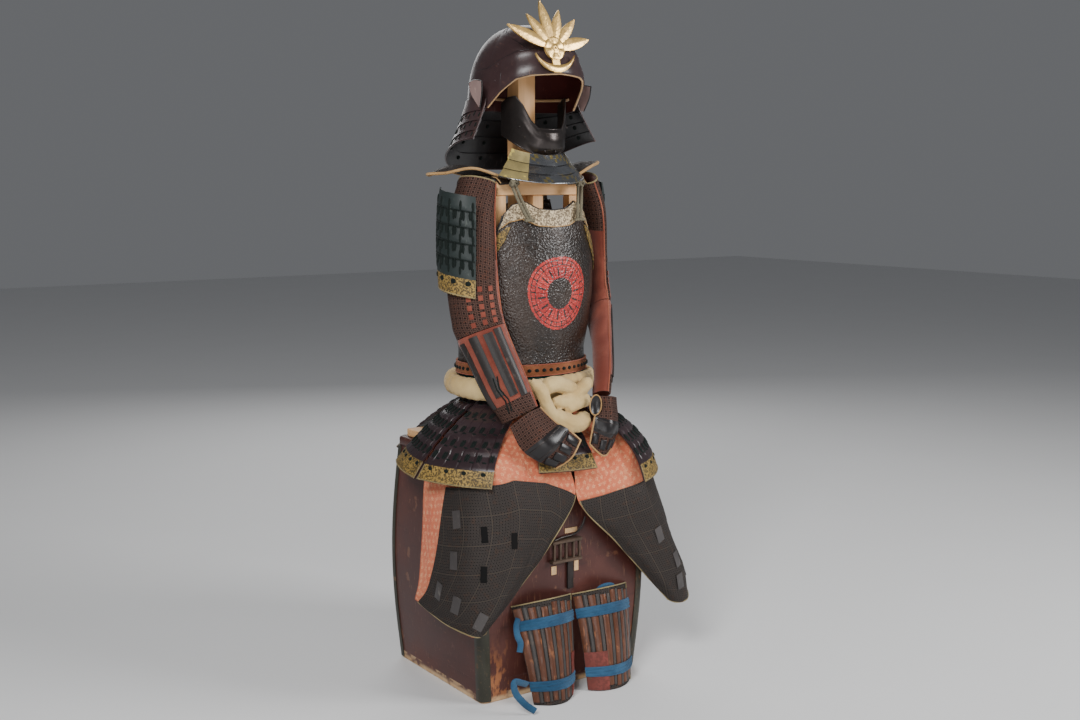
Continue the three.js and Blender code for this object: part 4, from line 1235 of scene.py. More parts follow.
def build_waist(knots):
    band = ring_at(*WAIST_BAND)
    wall("waist_leather_band", band, even(0.12), even(0.012), "red_brown_cloth",
         "band_leather", thick=3, ring=True, relief=lambda u, w: 1.6 * hump(u, 0.5, 0.3),
         replaces=["waist_band"])
    spots = [(0.5, (k + 0.5) / knots) for k in range(knots)]
    knots_on("waist_band_knots", band, spots, (10, 8, 3.2), lift=4.2)
    rims = [line_round(band, u, 160) for u in (0.03, 0.97)]
    normal = [unit(rim - [0, CUIRASS["centre_y"], 0] - points(0, 0, rim[:, 2])) for rim in rims]
    paths = [rim + out * 3.2 for rim, out in zip(rims, normal)]
    tubes("waist_band_piping", paths, 1.1, "red_brown_cloth", "welt", 6, closed=True)
    wall("waist_lace_ribs", ring_at(*WAIST_LACES), even(0.1), even(1 / (LACE_RIBS * 3)), "mail",
         "teal_cord", thick=2.6, ring=True, relief=lambda u, w: 1.0 + 0.9 * np.cos(TURN * LACE_RIBS * w),
         replaces=["waist_laces"])


# Sash
class ARMOUR_OT_sash(bpy.types.Operator):
    """Builds the padded sash and its knot"""

    bl_idname = "armour.sash"
    bl_label = "Sash"
    bl_options = UNDOABLE

    def execute(self, context):
        build_sash()
        build_knot()
        return {"FINISHED"}


SASH = {"centre_z": 675, "half_tall": 24, "half_deep": 17, "half_x": 164, "half_y": 138,
        "around": 220, "sides": 28, "mean_radius": 150, "roll_radius": 20}
SASH_ROLLS = [
    {"radius": 14, "path": [(-84, -178, 700), (-66, -189, 680), (-49, -197, 636), (-23, -209, 600),
                            (10, -208, 590)]},
    {"radius": 18, "path": [(-56, -184, 684), (-21, -189, 689), (30, -185, 668)]},
    {"radius": 15, "path": [(-34, -190, 652), (2, -194, 650), (42, -190, 672), (72, -179, 690)]},
    {"radius": 20, "path": [(-46, -198, 628), (-13, -203, 608), (24, -203, 600), (52, -198, 616)]},
    {"radius": 16, "path": [(-8, -194, 634), (25, -198, 646), (62, -186, 648)]},
]
# The fineness of the knot's remesh
KNOT_CELL = 1.9


def build_sash():
    around, sides = SASH["around"], SASH["sides"]
    turn = round_turn(around)[:, None]
    angle = round_turn(sides)[None, :]
    swell = 1 + 0.05 * np.sin(5 * turn) - 0.1 * hump((turn * 9 / TURN) % 1, 0.5, 0.05)
    out = SASH["half_deep"] * swell * np.cos(angle)
    grid = points((SASH["half_x"] + out) * np.sin(turn),
                  CUIRASS["centre_y"] - (SASH["half_y"] + out) * np.cos(turn),
                  SASH["centre_z"] + SASH["half_tall"] * swell * np.sin(angle) + 2 * np.sin(2 * turn))
    centre = points(SASH["half_x"] * np.sin(turn), CUIRASS["centre_y"] - SASH["half_y"] * np.cos(turn),
                    SASH["centre_z"] + 0 * turn)
    out_way = unit(grid - centre)
    gathers = 0.7 * np.sin(turn * 46 + 2 * np.sin(angle * 2)) * np.abs(np.sin(angle))
    grid = grid + out_way * (0.8 * ripple(grid, 0.16, 1) + gathers)[..., None]
    length = TURN * SASH["mean_radius"] / around
    girth = TURN * SASH["roll_radius"] / sides
    charts = hoop_charts([k * girth for k in range(sides + 1)], [i * length for i in range(around + 1)])
    piece = make_piece("padded_sash_ring", grid.reshape(-1, 3), hoops(around, sides, True), charts,
                       "cream_cloth", "cream", ["sash"], 80)


def build_knot():
    """Melts the rolls into one padded knot by a fine remesh."""
    parts = []
    for roll in SASH_ROLLS:
        place = np.linspace(0, 1, 26)
        radius = roll["radius"] * (0.55 + 0.45 * smooth(0, 0.14, np.minimum(place, place[::-1])))
        parts.append(tube_parts(through(roll["path"], place), radius, 16))
    verts, faces, _ = gather(parts)
    piece = make_piece("padded_sash_knot", verts, faces, None, "cream_cloth", "cream", ["sash_knot"], 80)
    remesh = piece.modifiers.new("melt", "REMESH")
    remesh.mode = "VOXEL"
    remesh.voxel_size = KNOT_CELL * MM
    soften = piece.modifiers.new("soften", "SMOOTH")
    soften.factor = 0.5
    soften.iterations = 2
    apply_modifiers(piece)
    mesh = piece.data
    place, normal = (read_rows(mesh, key) for key in ("co", "normal"))
    place = place / MM
    folds = 0.7 * ripple(place, 0.2, 3) + 0.5 * ripple(place, 0.55, 5)
    place = place + normal * folds[:, None]
    mesh.vertices.foreach_set("co", (place * MM).ravel())
    layer = mesh.uv_layers.new(name="cloth")
    chart = np.empty((len(mesh.loops), 2))
    index = np.empty(len(mesh.loops), int)
    mesh.loops.foreach_get("vertex_index", index)
    chart[:, 0] = place[index, 0] * MM
    chart[:, 1] = (place[index, 2] + 0.4 * place[index, 1]) * MM
    layer.data.foreach_set("uv", chart.ravel())
    mesh.shade_smooth()
    mesh.update()


# Tassets
class ARMOUR_OT_tassets(bpy.types.Operator):
    """Builds the seven hanging panels below the waist"""

    bl_idname = "armour.tassets"
    bl_label = "Tassets"
    bl_options = UNDOABLE

    def execute(self, context):
        for name, form in TASSETS.items():
            build_tasset(name, form)
        return {"FINISHED"}


SKIRT = {"top": 647, "inset": -3.5, "foot": 0.78}
TASSETS = {
    "front": {"turns": (-19, 20), "low": [(-100, -230, 508), (50, -236, 502)], "bow": 7, "belly": 9},
    "front_right": {"turns": (-72, -23), "low": [(-302, -68, 492), (-216, -228, 488)], "bow": 14,
                    "belly": 40},
    "front_left": {"turns": (24, 70), "low": [(166, -258, 460), (284, -154, 466)], "bow": 12, "belly": 48},
    "right": {"turns": (-120, -76), "low": [(-262, 96, 498), (-288, -30, 484)], "bow": 10, "belly": 18},
    "left": {"turns": (74, 120), "low": [(286, -92, 486), (266, 60, 490)], "bow": 10, "belly": 18},
    "back_right": {"turns": (184, 236), "low": [(-14, 224, 500), (-196, 218, 500)], "bow": 8, "belly": 24},
    "back_left": {"turns": (124, 176), "low": [(196, 218, 500), (14, 224, 500)], "bow": 8, "belly": 24},
}


def tasset_surface(form):
    low = np.asarray(form["low"], float)
    out = unit(np.cross(low[1] - low[0], [0, 0, 1]))

    def surface(u, w):
        top = on_body(np.full_like(u, SKIRT["top"]), mix(*form["turns"], w), SKIRT["inset"])
        across = low[0] + (low[1] - low[0]) * w[..., None]
        across = across + out * (form["bow"] * (1 - (2 * w - 1) ** 2))[..., None]
        edge = top + (across - top) * u[..., None]
        return edge + out * (form["belly"] * np.sin(math.pi * u ** 0.9))[..., None]

    return surface


def build_tasset(name, form):
    surface = tasset_surface(form)
    foot = SKIRT["foot"]
    rows = fine([*lame_rows(foot), 0.795, 0.82, 1], 0.03)
    scales = 5

    def relief(u, w):
        """Each lame is a row of plates, with a groove between neighbours."""
        groove = 1.1 * hump((w * scales) % 1, 0.5, 0.04) * (u < foot)
        return lame_relief(3.2, foot, 2.6)(u, w) - np.where(u > 0.02, groove, 0)

    wall(f"tasset_{name}_lames", surface, rows, even(1 / 130), "lacquer",
         "lame_lacquer print", thick=2.2, relief=relief, replaces=[f"tasset_{name}"],
         zones=lambda u, w, outer: outer and u > 0.79)
    tufts = [(foot * i / LAMES + 0.03, w + 0.016 * turn) for i in range(1, LAMES)
             for turn in (-1, 1) for w in np.linspace(0.06, 0.94, 6)]
    knots_on(f"tasset_{name}_laces", surface, tufts, (6, 21, 2.8), lift=2.8)
    ties = [(foot * i / LAMES + 0.075, w) for i in range(LAMES) for w in np.linspace(0.15, 0.85, 5)]
    knots_on(f"tasset_{name}_tie_knots", surface, ties, (12, 5, 2.2), lift=3.0)
    knots = [(0.835, (k + 0.5) / 4) for k in range(4)]
    knots_on(f"tasset_{name}_foot_knots", surface, knots, (12, 9, 2.6), lift=4.6)
    edge = [line_on(surface, [0.99, 0.99], [0.0, 1.0], 4.2, 1, 30)]
    edge += [line_on(surface, [0.8, 1], [w, w], 4.0, 1, 12) for w in (0.006, 0.994)]
    tubes(f"tasset_{name}_foot_piping", edge, 1.3, "printed_leather", "khaki", 6)


# Thigh guards
class ARMOUR_OT_thighs(bpy.types.Operator):
    """Builds the brocade cloths, their mail, plates and piping"""

    bl_idname = "armour.thighs"
    bl_label = "Thigh guards"
    bl_options = UNDOABLE

    def execute(self, context):
        for side in THIGHS:
            build_thigh(side)
        return {"FINISHED"}


THIGHS = {
    "right": [
        [(-4, -136, 614), (-58, -132, 614), (-106, -102, 614), (-138, -48, 614), (-142, 24, 612)],
        [(-3, -186, 558), (-90, -190, 556), (-180, -190, 549.6), (-222, -128, 549.6), (-224, 10, 549.6)],
        [(0, -206, 500), (-88, -214, 490), (-184, -222, 480), (-250, -160, 476), (-258, -20, 474)],
        [(5, -214, 436), (-80, -228, 420), (-180, -240, 405), (-264, -184, 398), (-272, -36, 392)],
        [(-65, -216, 345), (-122, -232, 325), (-205, -248, 308), (-278, -192, 300), (-284, -44, 302)],
        [(-145, -217, 266), (-186, -234, 244), (-238, -244, 230), (-286, -180, 235), (-290, -45, 252)],
        [(-226, -218, 192), (-248, -228, 180), (-270, -222, 181), (-290, -150, 196), (-292, -32, 216)],
    ],
    "left": [
        [(4, -136, 614), (58, -132, 614), (106, -102, 614), (138, -48, 614), (142, 24, 612)],
        [(5, -186, 558), (90, -190, 556), (180, -190, 549.6), (222, -128, 549.6), (224, 10, 549.6)],
        [(10, -206, 500), (90, -214, 490), (184, -222, 482), (250, -150, 478), (258, -20, 474)],
        [(22, -214, 420), (100, -236, 408), (190, -246, 408), (266, -180, 404), (276, -60, 398)],
        [(112, -218, 330), (170, -240, 318), (242, -238, 322), (288, -190, 324), (300, -90, 326)],
        [(200, -220, 238), (240, -240, 226), (296, -234, 230), (326, -190, 240), (330, -120, 254)],
        [(274, -222, 162), (294, -234, 152), (324, -226, 152), (348, -192, 164), (352, -146, 182)],
    ],
}
MAIL = {
    "right": {"top": [(0, 0.48), (0.25, 0.355), (0.5, 0.29), (1, 0.33)], "reach": (0.84, 0.96)},
    "left": {"top": [(0, 0.48), (0.4, 0.41), (1, 0.32)], "reach": (0.97, 0.97)},
}
# The plates sewn on the mail, and the places where one is lost, where a flat black patch of painted shade
# stands for the open slot
THIGH_PLATES = {
    "right": [(0.2, 0.89), (0.42, 0.87), (0.66, 0.92), (0.72, 0.78), (0.84, 0.55)],
    "left": [(0.42, 0.45), (0.64, 0.5), (0.8, 0.42), (0.8, 0.72), (0.5, 0.8), (0.66, 0.86)],
}
THIGH_HOLES = {"right": [(0.3, 0.72), (0.37, 0.53), (0.5, 0.68)], "left": [(0.36, 0.72)]}
# Place across, lean, start, end, width and height of each ridge in the brocade
THIGH_CREASES = [
    (0.10, 0.30, 0.16, 0.44, 0.022, 3.2), (0.17, 0.12, 0.20, 0.52, 0.018, 2.4),
    (0.27, -0.16, 0.13, 0.36, 0.026, 3.6), (0.34, 0.24, 0.22, 0.46, 0.016, 2.2),
    (0.43, -0.08, 0.16, 0.40, 0.030, 3.0), (0.52, 0.20, 0.19, 0.43, 0.020, 2.6),
    (0.63, -0.22, 0.14, 0.47, 0.024, 3.0), (0.74, 0.14, 0.21, 0.50, 0.018, 2.2),
    (0.86, 0.05, 0.18, 0.70, 0.022, 2.4), (0.945, -0.03, 0.30, 0.86, 0.016, 1.8),
]


def thigh_surface(side):
    cloth = patch(THIGHS[side])

    def folded(u, w):
        above = 1 - smooth(0.3, 0.5, u)
        wave = 2.2 * np.sin(9 * w + 5 * u) * above
        return cloth(u, w) + points(0, 0, np.maximum(wave, -1.5))

    return folded


def build_thigh(side):
    facing = -1 if side == "right" else 1
    folded = thigh_surface(side)
    form = MAIL[side]

    def creases(u, w):
        """Soft ridges that run down from the waist, each with its own place, lean, length and height."""
        total = 0.25 * np.sin(40 * w + 13 * u)
        for place, lean, low, high, width, rise in THIGH_CREASES:
            line = place + lean * (u - low)
            length = smooth(low - 0.05, low + 0.05, u) * (1 - smooth(high - 0.07, high + 0.05, u))
            total = total + rise * hump(w, line, width) * length
        side_edge = mix(*form["reach"], u)
        under_mail = smooth(-0.06, -0.01, u - lookup(form["top"], w))
        under_mail = under_mail * (1 - smooth(0.0, 0.03, w - side_edge))
        return total * (1 - under_mail)

    cloth = wall(f"thigh_brocade_{side}", folded, even(0.01), even(0.008), "brocade",
                 "brocade", thick=1.6, side=facing, relief=creases,
                 replaces=[f"thigh_cloth_{side}"], sharp=60)

    def covered(u, w):
        top = lookup(form["top"], w)
        return folded(mix(top, 0.992, u), mix(0.008, mix(*form["reach"], u), w))

    wall(f"thigh_mail_sheet_{side}", covered, even(0.016), even(0.016), "mail",
         "mail", thick=2.2, lift=3.4, side=facing,
         relief=lambda u, w: 0.6 * np.sin(11 * w + 17 * u) + 0.4 * np.sin(29 * w - 7 * u),
         replaces=[f"thigh_mail_{side}"], sharp=60)
    cords_on(f"thigh_piping_{side}", covered, [([1, 1], [0, 1]), ([0, 1], [0, 0])], 4.6, 70, 1.7, "brocade",
             "khaki", side=facing)
    lean = 0.22 * facing
    studs(f"thigh_plates_{side}", covered, THIGH_PLATES[side], (21, 38, 1.5), "iron",
          "plate_lacquer", lift=5.6, side=facing, turn=lean, square=True)
    # Flat black patches over the slots of lost plates stand for the shade inside them: painted shade
    studs(f"thigh_slot_shade_patches_{side}", covered, THIGH_HOLES[side], (14, 34, 0.5), "mail",
          "bare_black", lift=5.8, side=facing, turn=lean, square=True)
    hem = [([0.25, 1], [0.997, 0.997]), ([1, 1], [form["reach"][1], 1])]
    cords_on(f"thigh_hem_{side}", folded, hem, 1.0, 60, 1.2, "brocade", "welt", 6, facing)


# Sleeves
class ARMOUR_OT_sleeves(bpy.types.Operator):
    """Builds the sleeves, their splints and the hand guards"""

    bl_idname = "armour.sleeves"
    bl_label = "Sleeves"
    bl_options = UNDOABLE

    def execute(self, context):
        for side in SLEEVES:
            build_sleeve(side)
            build_hand(side)
        build_wrist_cup()
        return {"FINISHED"}


SLEEVES = {
    "right": {
        "x": [-150.5, -176, -186, -188, -183, -168, -150, -128],
        "y": [-74, -92, -106, -114, -128, -154, -180, -200],
        "z": [1124, 1050, 965, 885, 820, 756, 692, 634],
        "wide": [38, 47, 50, 53, 52, 49, 47, 40],
        "deep": [26, 32, 33, 33, 32, 29, 26, 21],
        "axis": (0.86, -0.5, 0.1), "elbow": 0.6, "splints": (0.14, 0.22, 0.32, 0.43, 0.56, 0.7),
        "cuff": 0.8, "cloth": (0.9, 0.05), "cloth_from": 0.5, "welt": 0.03, "patches": 0.21,
    },
    "left": {
        "x": [143, 178, 195, 197, 186, 152, 117, 96],
        "y": [-60, -46, -34, -36, -60, -118, -170, -192],
        "z": [1132, 1060, 970, 895, 840, 770, 705, 656],
        "wide": [40, 44, 42, 42, 38, 27, 24, 24],
        "deep": [22, 20, 16, 17, 18, 18, 17, 15],
        "axis": (0.1, 1, 0), "elbow": 0.585, "splints": (0.04, 0.13, 0.22, 0.31, 0.4),
        "cuff": 0.74, "cloth": (0.52, 0.9), "cloth_from": 0.36, "welt": 0.51, "patches": 0.35,
    },
}
# How much of the sleeve's girth one splint of the forearm covers
SPLINT_SHARE = 0.064


def sleeve_surface(form):
    line = np.stack([form["x"], form["y"], form["z"]], axis=-1).astype(float)
    wide_axis = np.asarray(form["axis"], float)

    def surface(u, w):
        u, w = np.broadcast_arrays(u, w)
        tangent = unit(through(line, clamp(u + 0.01)) - through(line, clamp(u - 0.01)))
        across = unit(wide_axis - tangent * (tangent @ wide_axis)[..., None])
        away = np.cross(tangent, across)
        angle = TURN * w
        wide = through(form["wide"], u) * np.cos(angle)
        deep = through(form["deep"], u) * np.sin(angle)
        return through(line, u) + across * wide[..., None] + away * deep[..., None]

    return surface


def stretch(surface, low, high):
    return lambda u, w: surface(mix(low, high, u), w)


def build_sleeve(side):
    form = SLEEVES[side]
    arm = sleeve_surface(form)
    elbow = form["elbow"]
    upper = stretch(arm, 0, elbow - 0.003)
    lower = stretch(arm, elbow, 1)

    def soft_folds(u, w):
        bend = 2 * hump(u * elbow, elbow - 0.04, 0.02) + 1.5 * hump(u * elbow, 0.33, 0.015)
        return bend * 0.7 + 0.8 * np.sin(14 * u + 3 * np.sin(6.28 * w)) * (0.4 + 0.6 * u)

    def inside_strip(w):
        """The strip of plain cloth along the inside of the arm, where the sleeve is laced shut."""
        start, end = form["cloth"]
        return start < w < end if start < end else w > start or w < end

    def forearm_folds(u, w):
        elbow_fold = 1.4 * hump(u, 0.08 + 0.04 * np.sin(9 * w), 0.03)
        return 0.5 * np.sin(19 * u + 4 * np.sin(6.28 * w)) + elbow_fold

    top = wall(f"sleeve_mail_{side}", upper, even(0.012), even(0.016), "mail",
               "brown_mail hemp", thick=1.8, side=-1, ring=True, relief=soft_folds,
               replaces=[f"sleeve_upper_{side}"], sharp=60,
               zones=lambda u, w, outer: not outer or (u > form["cloth_from"] and inside_strip(w)))
    low = wall(f"sleeve_forearm_{side}", lower, even(0.02), even(0.016), "red_brown_cloth",
               "hemp brown_mail", thick=1.6, side=-1, ring=True, relief=forearm_folds,
               replaces=[f"sleeve_lower_{side}"], sharp=60,
               zones=lambda u, w, outer: outer and u > form["cuff"] and not inside_strip(w))
    build_splints(side, lower, form["splints"])
    welts = [line_on(surface, [0, 1], [form["welt"]] * 2, 2.2, -1, 60) for surface in (upper, lower)]
    tubes(f"sleeve_welts_{side}", welts, 1.7, "red_brown_cloth", "welt", 6)
    cords_on(f"sleeve_bindings_{side}", upper, [([0, 0], [0, 1])], 1.2, 60, 2.0, "red_brown_cloth", "khaki",
             6, -1)
    if side == "right":
        loops = [([0.5, 0.62, 0.76, 0.9], ws)
                 for ws in ([0.305, 0.315, 0.295, 0.315], [0.275, 0.295, 0.27, 0.29])]
        cords_on("wrist_cords", lower, loops, 5.6, 40, 1.6, "cord", "green_cord", side=-1)
    plates = [(mix(0.68, 0.95, i / 4), form["patches"] + mix(-0.075, 0.075, j / 2))
              for i in range(5) for j in range(3)]
    studs(f"elbow_patches_{side}", upper, plates, (10, 11, 0.9), "red_brown_cloth", "hemp", lift=3.0,
          side=-1, square=True)


def build_splints(side, lower, centres):
    """Long lacquered splints on the outside of the forearm, from the elbow to the cuff."""
    parts = []
    for n, centre in enumerate(centres):
        start, end = 0.03 + 0.02 * (n % 2), 0.8 - 0.05 * (n % 3)
        splint = stretch(lower, start, end)
        ws = np.asarray(steps(4))
        u, w = crossed(even(0.05), np.mod(centre + (ws - 0.5) * SPLINT_SHARE, 1.0))
        grid = splint(u, w)
        normal = outward(splint, u, w, -1)
        crown = 1.8 + 1.3 * (1 - (2 * ws - 1) ** 2)
        parts.append(shell_parts(grid + normal * 1.8, grid + normal * (1.8 + crown)[None, :, None]))
    make_piece(f"forearm_splints_{side}", *gather(parts), "splint", "dark_splint", (), 40)


HANDS = {
    "right": [
        [(-161, -212, 614), (-130, -229, 641), (-90, -220, 649)],
        [(-140, -224, 566), (-112, -248, 596), (-62, -238, 616)],
        [(-106, -238, 538), (-82, -260, 566), (-38, -250, 600)],
        [(-66, -246, 520), (-38, -262, 542), (-8, -254, 574)],
    ],
    "left": [
        [(74, -206, 656), (98, -220, 655), (126, -205, 648)],
        [(56, -222, 622), (88, -240, 614), (120, -218, 604)],
        [(46, -226, 590), (76, -244, 574), (112, -224, 570)],
        [(38, -226, 556), (64, -240, 530), (96, -224, 540)],
    ],
}


def build_wrist_cup():
    """The small dished plate tied at the inner edge of the left hand guard."""
    across = unit(np.array([0.93, -0.35, -0.1]))
    out = unit(np.array([-0.34, -0.93, 0.1]))
    up = np.cross(out, across) * -1

    def dish(u, w):
        angle = TURN * w
        rise = (across * (13 * u * np.cos(angle))[..., None] + up * (22 * u * np.sin(angle))[..., None]
                + out * (5 * u * u)[..., None])
        return np.array([54.0, -224.0, 641.0]) + rise

    wall("wrist_cup_left", dish, even(0.1), even(0.03), "iron", "dark_lacquer",
         thick=1.6, ring=True, pole=True)
    tubes("wrist_cup_rim_left", [line_round(dish, 1, 48)], 1.5, "printed_leather", "piping", 8, closed=True)


def build_hand(side):
    plate = patch(HANDS[side])

    def knuckles(u, w):
        palm = 1.6 * smooth(0.38, 0.44, u) * (1 - smooth(0.66, 0.7, u)) * smooth(0.02, 0.1, w)
        cloth = 0.5 * np.sin(17 * u + 3 * w) * (u < 0.4)
        return 2.2 * hump(u, 0.56, 0.13) * hump(w, 0.5, 0.35) + palm + cloth

    wall(f"hand_plate_{side}", plate, even(0.02), even(0.02), "iron",
         "brown_mail dark_lacquer leather", thick=2.4, relief=knuckles,
         replaces=[f"hand_guard_{side}"], sharp=50,
         zones=lambda u, w, outer: 2 * (not outer) or int(0.4 < u < 0.7))
    fingers = [(0.82 + 0.02 * (k % 2), 0.14 + 0.24 * k) for k in range(4)]
    size = (17, 30, 3.6) if side == "right" else (13, 22, 3.4)
    studs(f"finger_plates_{side}", plate, fingers, size, "iron", "dark_lacquer", lift=2.2, square=True)
    inner = 1 if side == "right" else 0
    rim = [([0, 1], [inner, inner]), ([1, 1], [0, 1])]
    cords_on(f"hand_piping_{side}", plate, rim, 2.0, 40, 2.1, "printed_leather", "piping")
    ribs = [([u, u], [0.06, 0.94]) for u in (0.46, 0.64)]
    cords_on(f"hand_ribs_{side}", plate, ribs, 4.6, 30, 1.5, "iron", "iron", 6)


# Shoulders
class ARMOUR_OT_shoulders(bpy.types.Operator):
    """Builds the straps, wings, fastening cords and shoulder guards"""

    bl_idname = "armour.shoulders"
    bl_label = "Shoulders"
    bl_options = UNDOABLE

    def execute(self, context):
        pairs = context.scene.armour_sizes.lace_pairs
        for side, sign in (("right", -1), ("left", 1)):
            build_strap(side, sign)
            build_wing(side, sign)
            build_cord(side, sign)
            build_shoulder_guard(side, pairs)
        return {"FINISHED"}


STRAP = {"half_width": 25, "turns": (27, 39, 53), "thick": 5}
STRAP_LINE = [(93, 58, 1121), (93, 28, 1127.3), (93, -40, 1127.3), (91, -86, 1127.3), (90, -106, 1116)]
WINGS = {
    "right": [
        [(-104, -84, 1134.6), (-165, -78, 1150), (-212, -46, 1140)],
        [(-104, -22, 1134.6), (-172, -22, 1156), (-236, -14, 1138)],
        [(-104, 40, 1134.6), (-165, 44, 1146), (-206, 34, 1136)],
    ],
    "left": [
        [(104, -84, 1134.6), (150, -78, 1156), (184, -58, 1164)],
        [(104, -22, 1134.6), (156, -22, 1164), (206, -22, 1166)],
        [(104, 40, 1134.6), (150, 44, 1150), (190, 34, 1154)],
    ],
}
# Where the printed foot of a shoulder guard begins
SHIELD_FOOT = 0.8
SHIELDS = {
    "right": {"x": -186, "y": -92, "radius": 57, "top": (1112, 1092), "low": (904, 880),
              "turns": (228, 344), "lean": -3},
    "left": {"x": 180, "y": -14, "radius": 39.5, "top": (1136, 1122), "low": (952, 930),
             "turns": (62, 170), "lean": 3},
}


def build_strap(side, sign):
    behind = [[on_body(z, 180 - sign * turn, CUIRASS["wall"] + 1) for turn in STRAP["turns"]]
              for z in (1064, 1090)]
    over = [[(sign * (x + k * STRAP["half_width"]), y, z + (0 if k else 1.5)) for k in (-1, 0, 1)]
            for x, y, z in STRAP_LINE]
    surface = patch([*behind, *over])
    wall(f"strap_leather_{side}", surface, even(0.02), even(0.1), "leather", "leather",
         thick=STRAP["thick"], lift=SEAM, side=sign, replaces=[f"shoulder_strap_{side}"])
    edges = [([0.1, 1], [w, w]) for w in (0.03, 0.97)]
    cords_on(f"strap_piping_{side}", surface, edges, 5.2, 60, 1.4, "leather", "piping", 6, sign)


def build_wing(side, sign):
    surface = patch(WINGS[side])
    piece = wall(f"wing_pad_{side}", surface, even(0.03), even(0.03), "mail", "mail",
                 thick=3.4, side=-sign, relief=lambda u, w: 0.6 * np.sin(21 * u) * np.sin(17 * w),
                 replaces=[f"shoulder_wing_{side}"], sharp=60)
    rim = [([0, 0], [0, 1]), ([1, 1], [0, 1]), ([0, 1], [1, 1])]
    cords_on(f"wing_rolled_edge_{side}", surface, rim, 1.6, 40, 3.4, "printed_leather", "piping", 10, -sign)


# Where the fastening cords start on the strap and end on the chest plate, across from the middle
CORD_X = (88, 78, 66)


def build_cord(side, sign):
    top, middle, low = (sign * x for x in CORD_X)
    paths = []
    for shift in (-5, 5):
        line = [(top + shift, -119, 1116), (middle + shift, -132, 1080), (low + shift * 0.8, -147, 1044)]
        paths.append(curve(line, 30))
    paths.append([(low - 12, -148, 1041), (low, -149, 1042), (low + 12, -148, 1041)])
    for turn in range(3):
        angle = np.linspace(0, TURN, 20)
        paths.append(np.stack([top + 9 * np.cos(angle + turn),
                               -119 + 5 * np.sin(angle + 2 * turn) - 2,
                               1120 + 5 * np.sin(angle) * (1 if turn % 2 else -1)], axis=-1))
    tubes(f"fastening_strands_{side}", paths, 3.3, "cord", "olive_cord", 10,
          replaces=[f"fastening_cord_{side}"])


def build_shoulder_guard(side, pairs):
    form = SHIELDS[side]

    def surface(u, w):
        angle = np.radians(mix(*form["turns"], w))
        along = w if side == "right" else 1 - w
        z = mix(mix(*form["top"], along), mix(*form["low"], along), u)
        radius = form["radius"] + 4 * np.sin(math.pi * u)
        return points(form["x"] + form["lean"] * u + radius * np.sin(angle),
                      form["y"] - radius * np.cos(angle), z)

    foot = SHIELD_FOOT
    rows = fine([*lame_rows(foot), 0.815, 0.84, 1], 0.03)
    wall(f"shoulder_lames_{side}", surface, rows, even(0.03), "leather",
         "green_lacquer print", thick=2.4, relief=lame_relief(2.8, foot, 2.4),
         replaces=[f"shoulder_guard_{side}"], zones=lambda u, w, outer: outer and u > 0.81)
    columns = np.linspace(0.05, 0.95, pairs * 2)
    laces = [(foot * i / LAMES + 0.035 + 0.006 * (k % 3), w + 0.018 * (-1) ** k) for i in range(1, LAMES)
             for k, w in enumerate(columns)]
    laces += [(foot * i / LAMES + 0.105, w) for i in range(LAMES) for w in columns[1::3]]
    knots_on(f"shoulder_laces_{side}", surface, laces, (6.5, 22, 3.2), lift=3.0)
    bands = [([u, u], [0.02, 0.98]) for u in (0.155, 0.315, 0.475, 0.635)]
    cords_on(f"shoulder_lace_rows_{side}", surface, bands, 5.2, 40, 1.3, "mail", "green_cord", 6)
    knots = [(0.86, (k + 0.5) / 4) for k in range(4)]
    knots_on(f"shoulder_foot_knots_{side}", surface, knots, (13, 11, 2.6), lift=4.6)
    edge = [([0.99, 0.99], [0, 1]), ([0.82, 0.99], [0.005, 0.005]), ([0.82, 0.99], [0.995, 0.995])]
    cords_on(f"shoulder_foot_piping_{side}", surface, edge, 4.2, 24, 1.3, "printed_leather", "khaki", 6)


# Helmet
class ARMOUR_OT_helmet(bpy.types.Operator):
    """Builds the bowl, its ears, the neck guard and the crest"""

    bl_idname = "armour.helmet"
    bl_label = "Helmet"
    bl_options = UNDOABLE

    def execute(self, context):
        build_bowl()
        build_ears()
        build_neck_guard()
        build_crest()
        return {"FINISHED"}


RIM = [(0, 1352), (30, 1348), (45, 1340), (62, 1313), (78, 1282), (90, 1278), (180, 1284)]


def bowl(u, w):
    degrees = 360 * w
    from_front = np.minimum(degrees, 360 - degrees)
    rim = lookup(RIM, from_front)
    drop = math.pi / 2 * u
    flare = 0.06 * smooth(0.8, 1, u) * (1 - smooth(40, 75, from_front))
    spread = np.sin(drop) ** 0.84 + flare
    angle = np.radians(degrees)
    height = np.maximum(np.cos(drop), 0) ** 0.85
    return points(HELMET["half_x"] * spread * np.sin(angle),
                  HELMET["centre_y"] - HELMET["half_y"] * spread * np.cos(angle),
                  mix(rim, HELMET["top"], height))


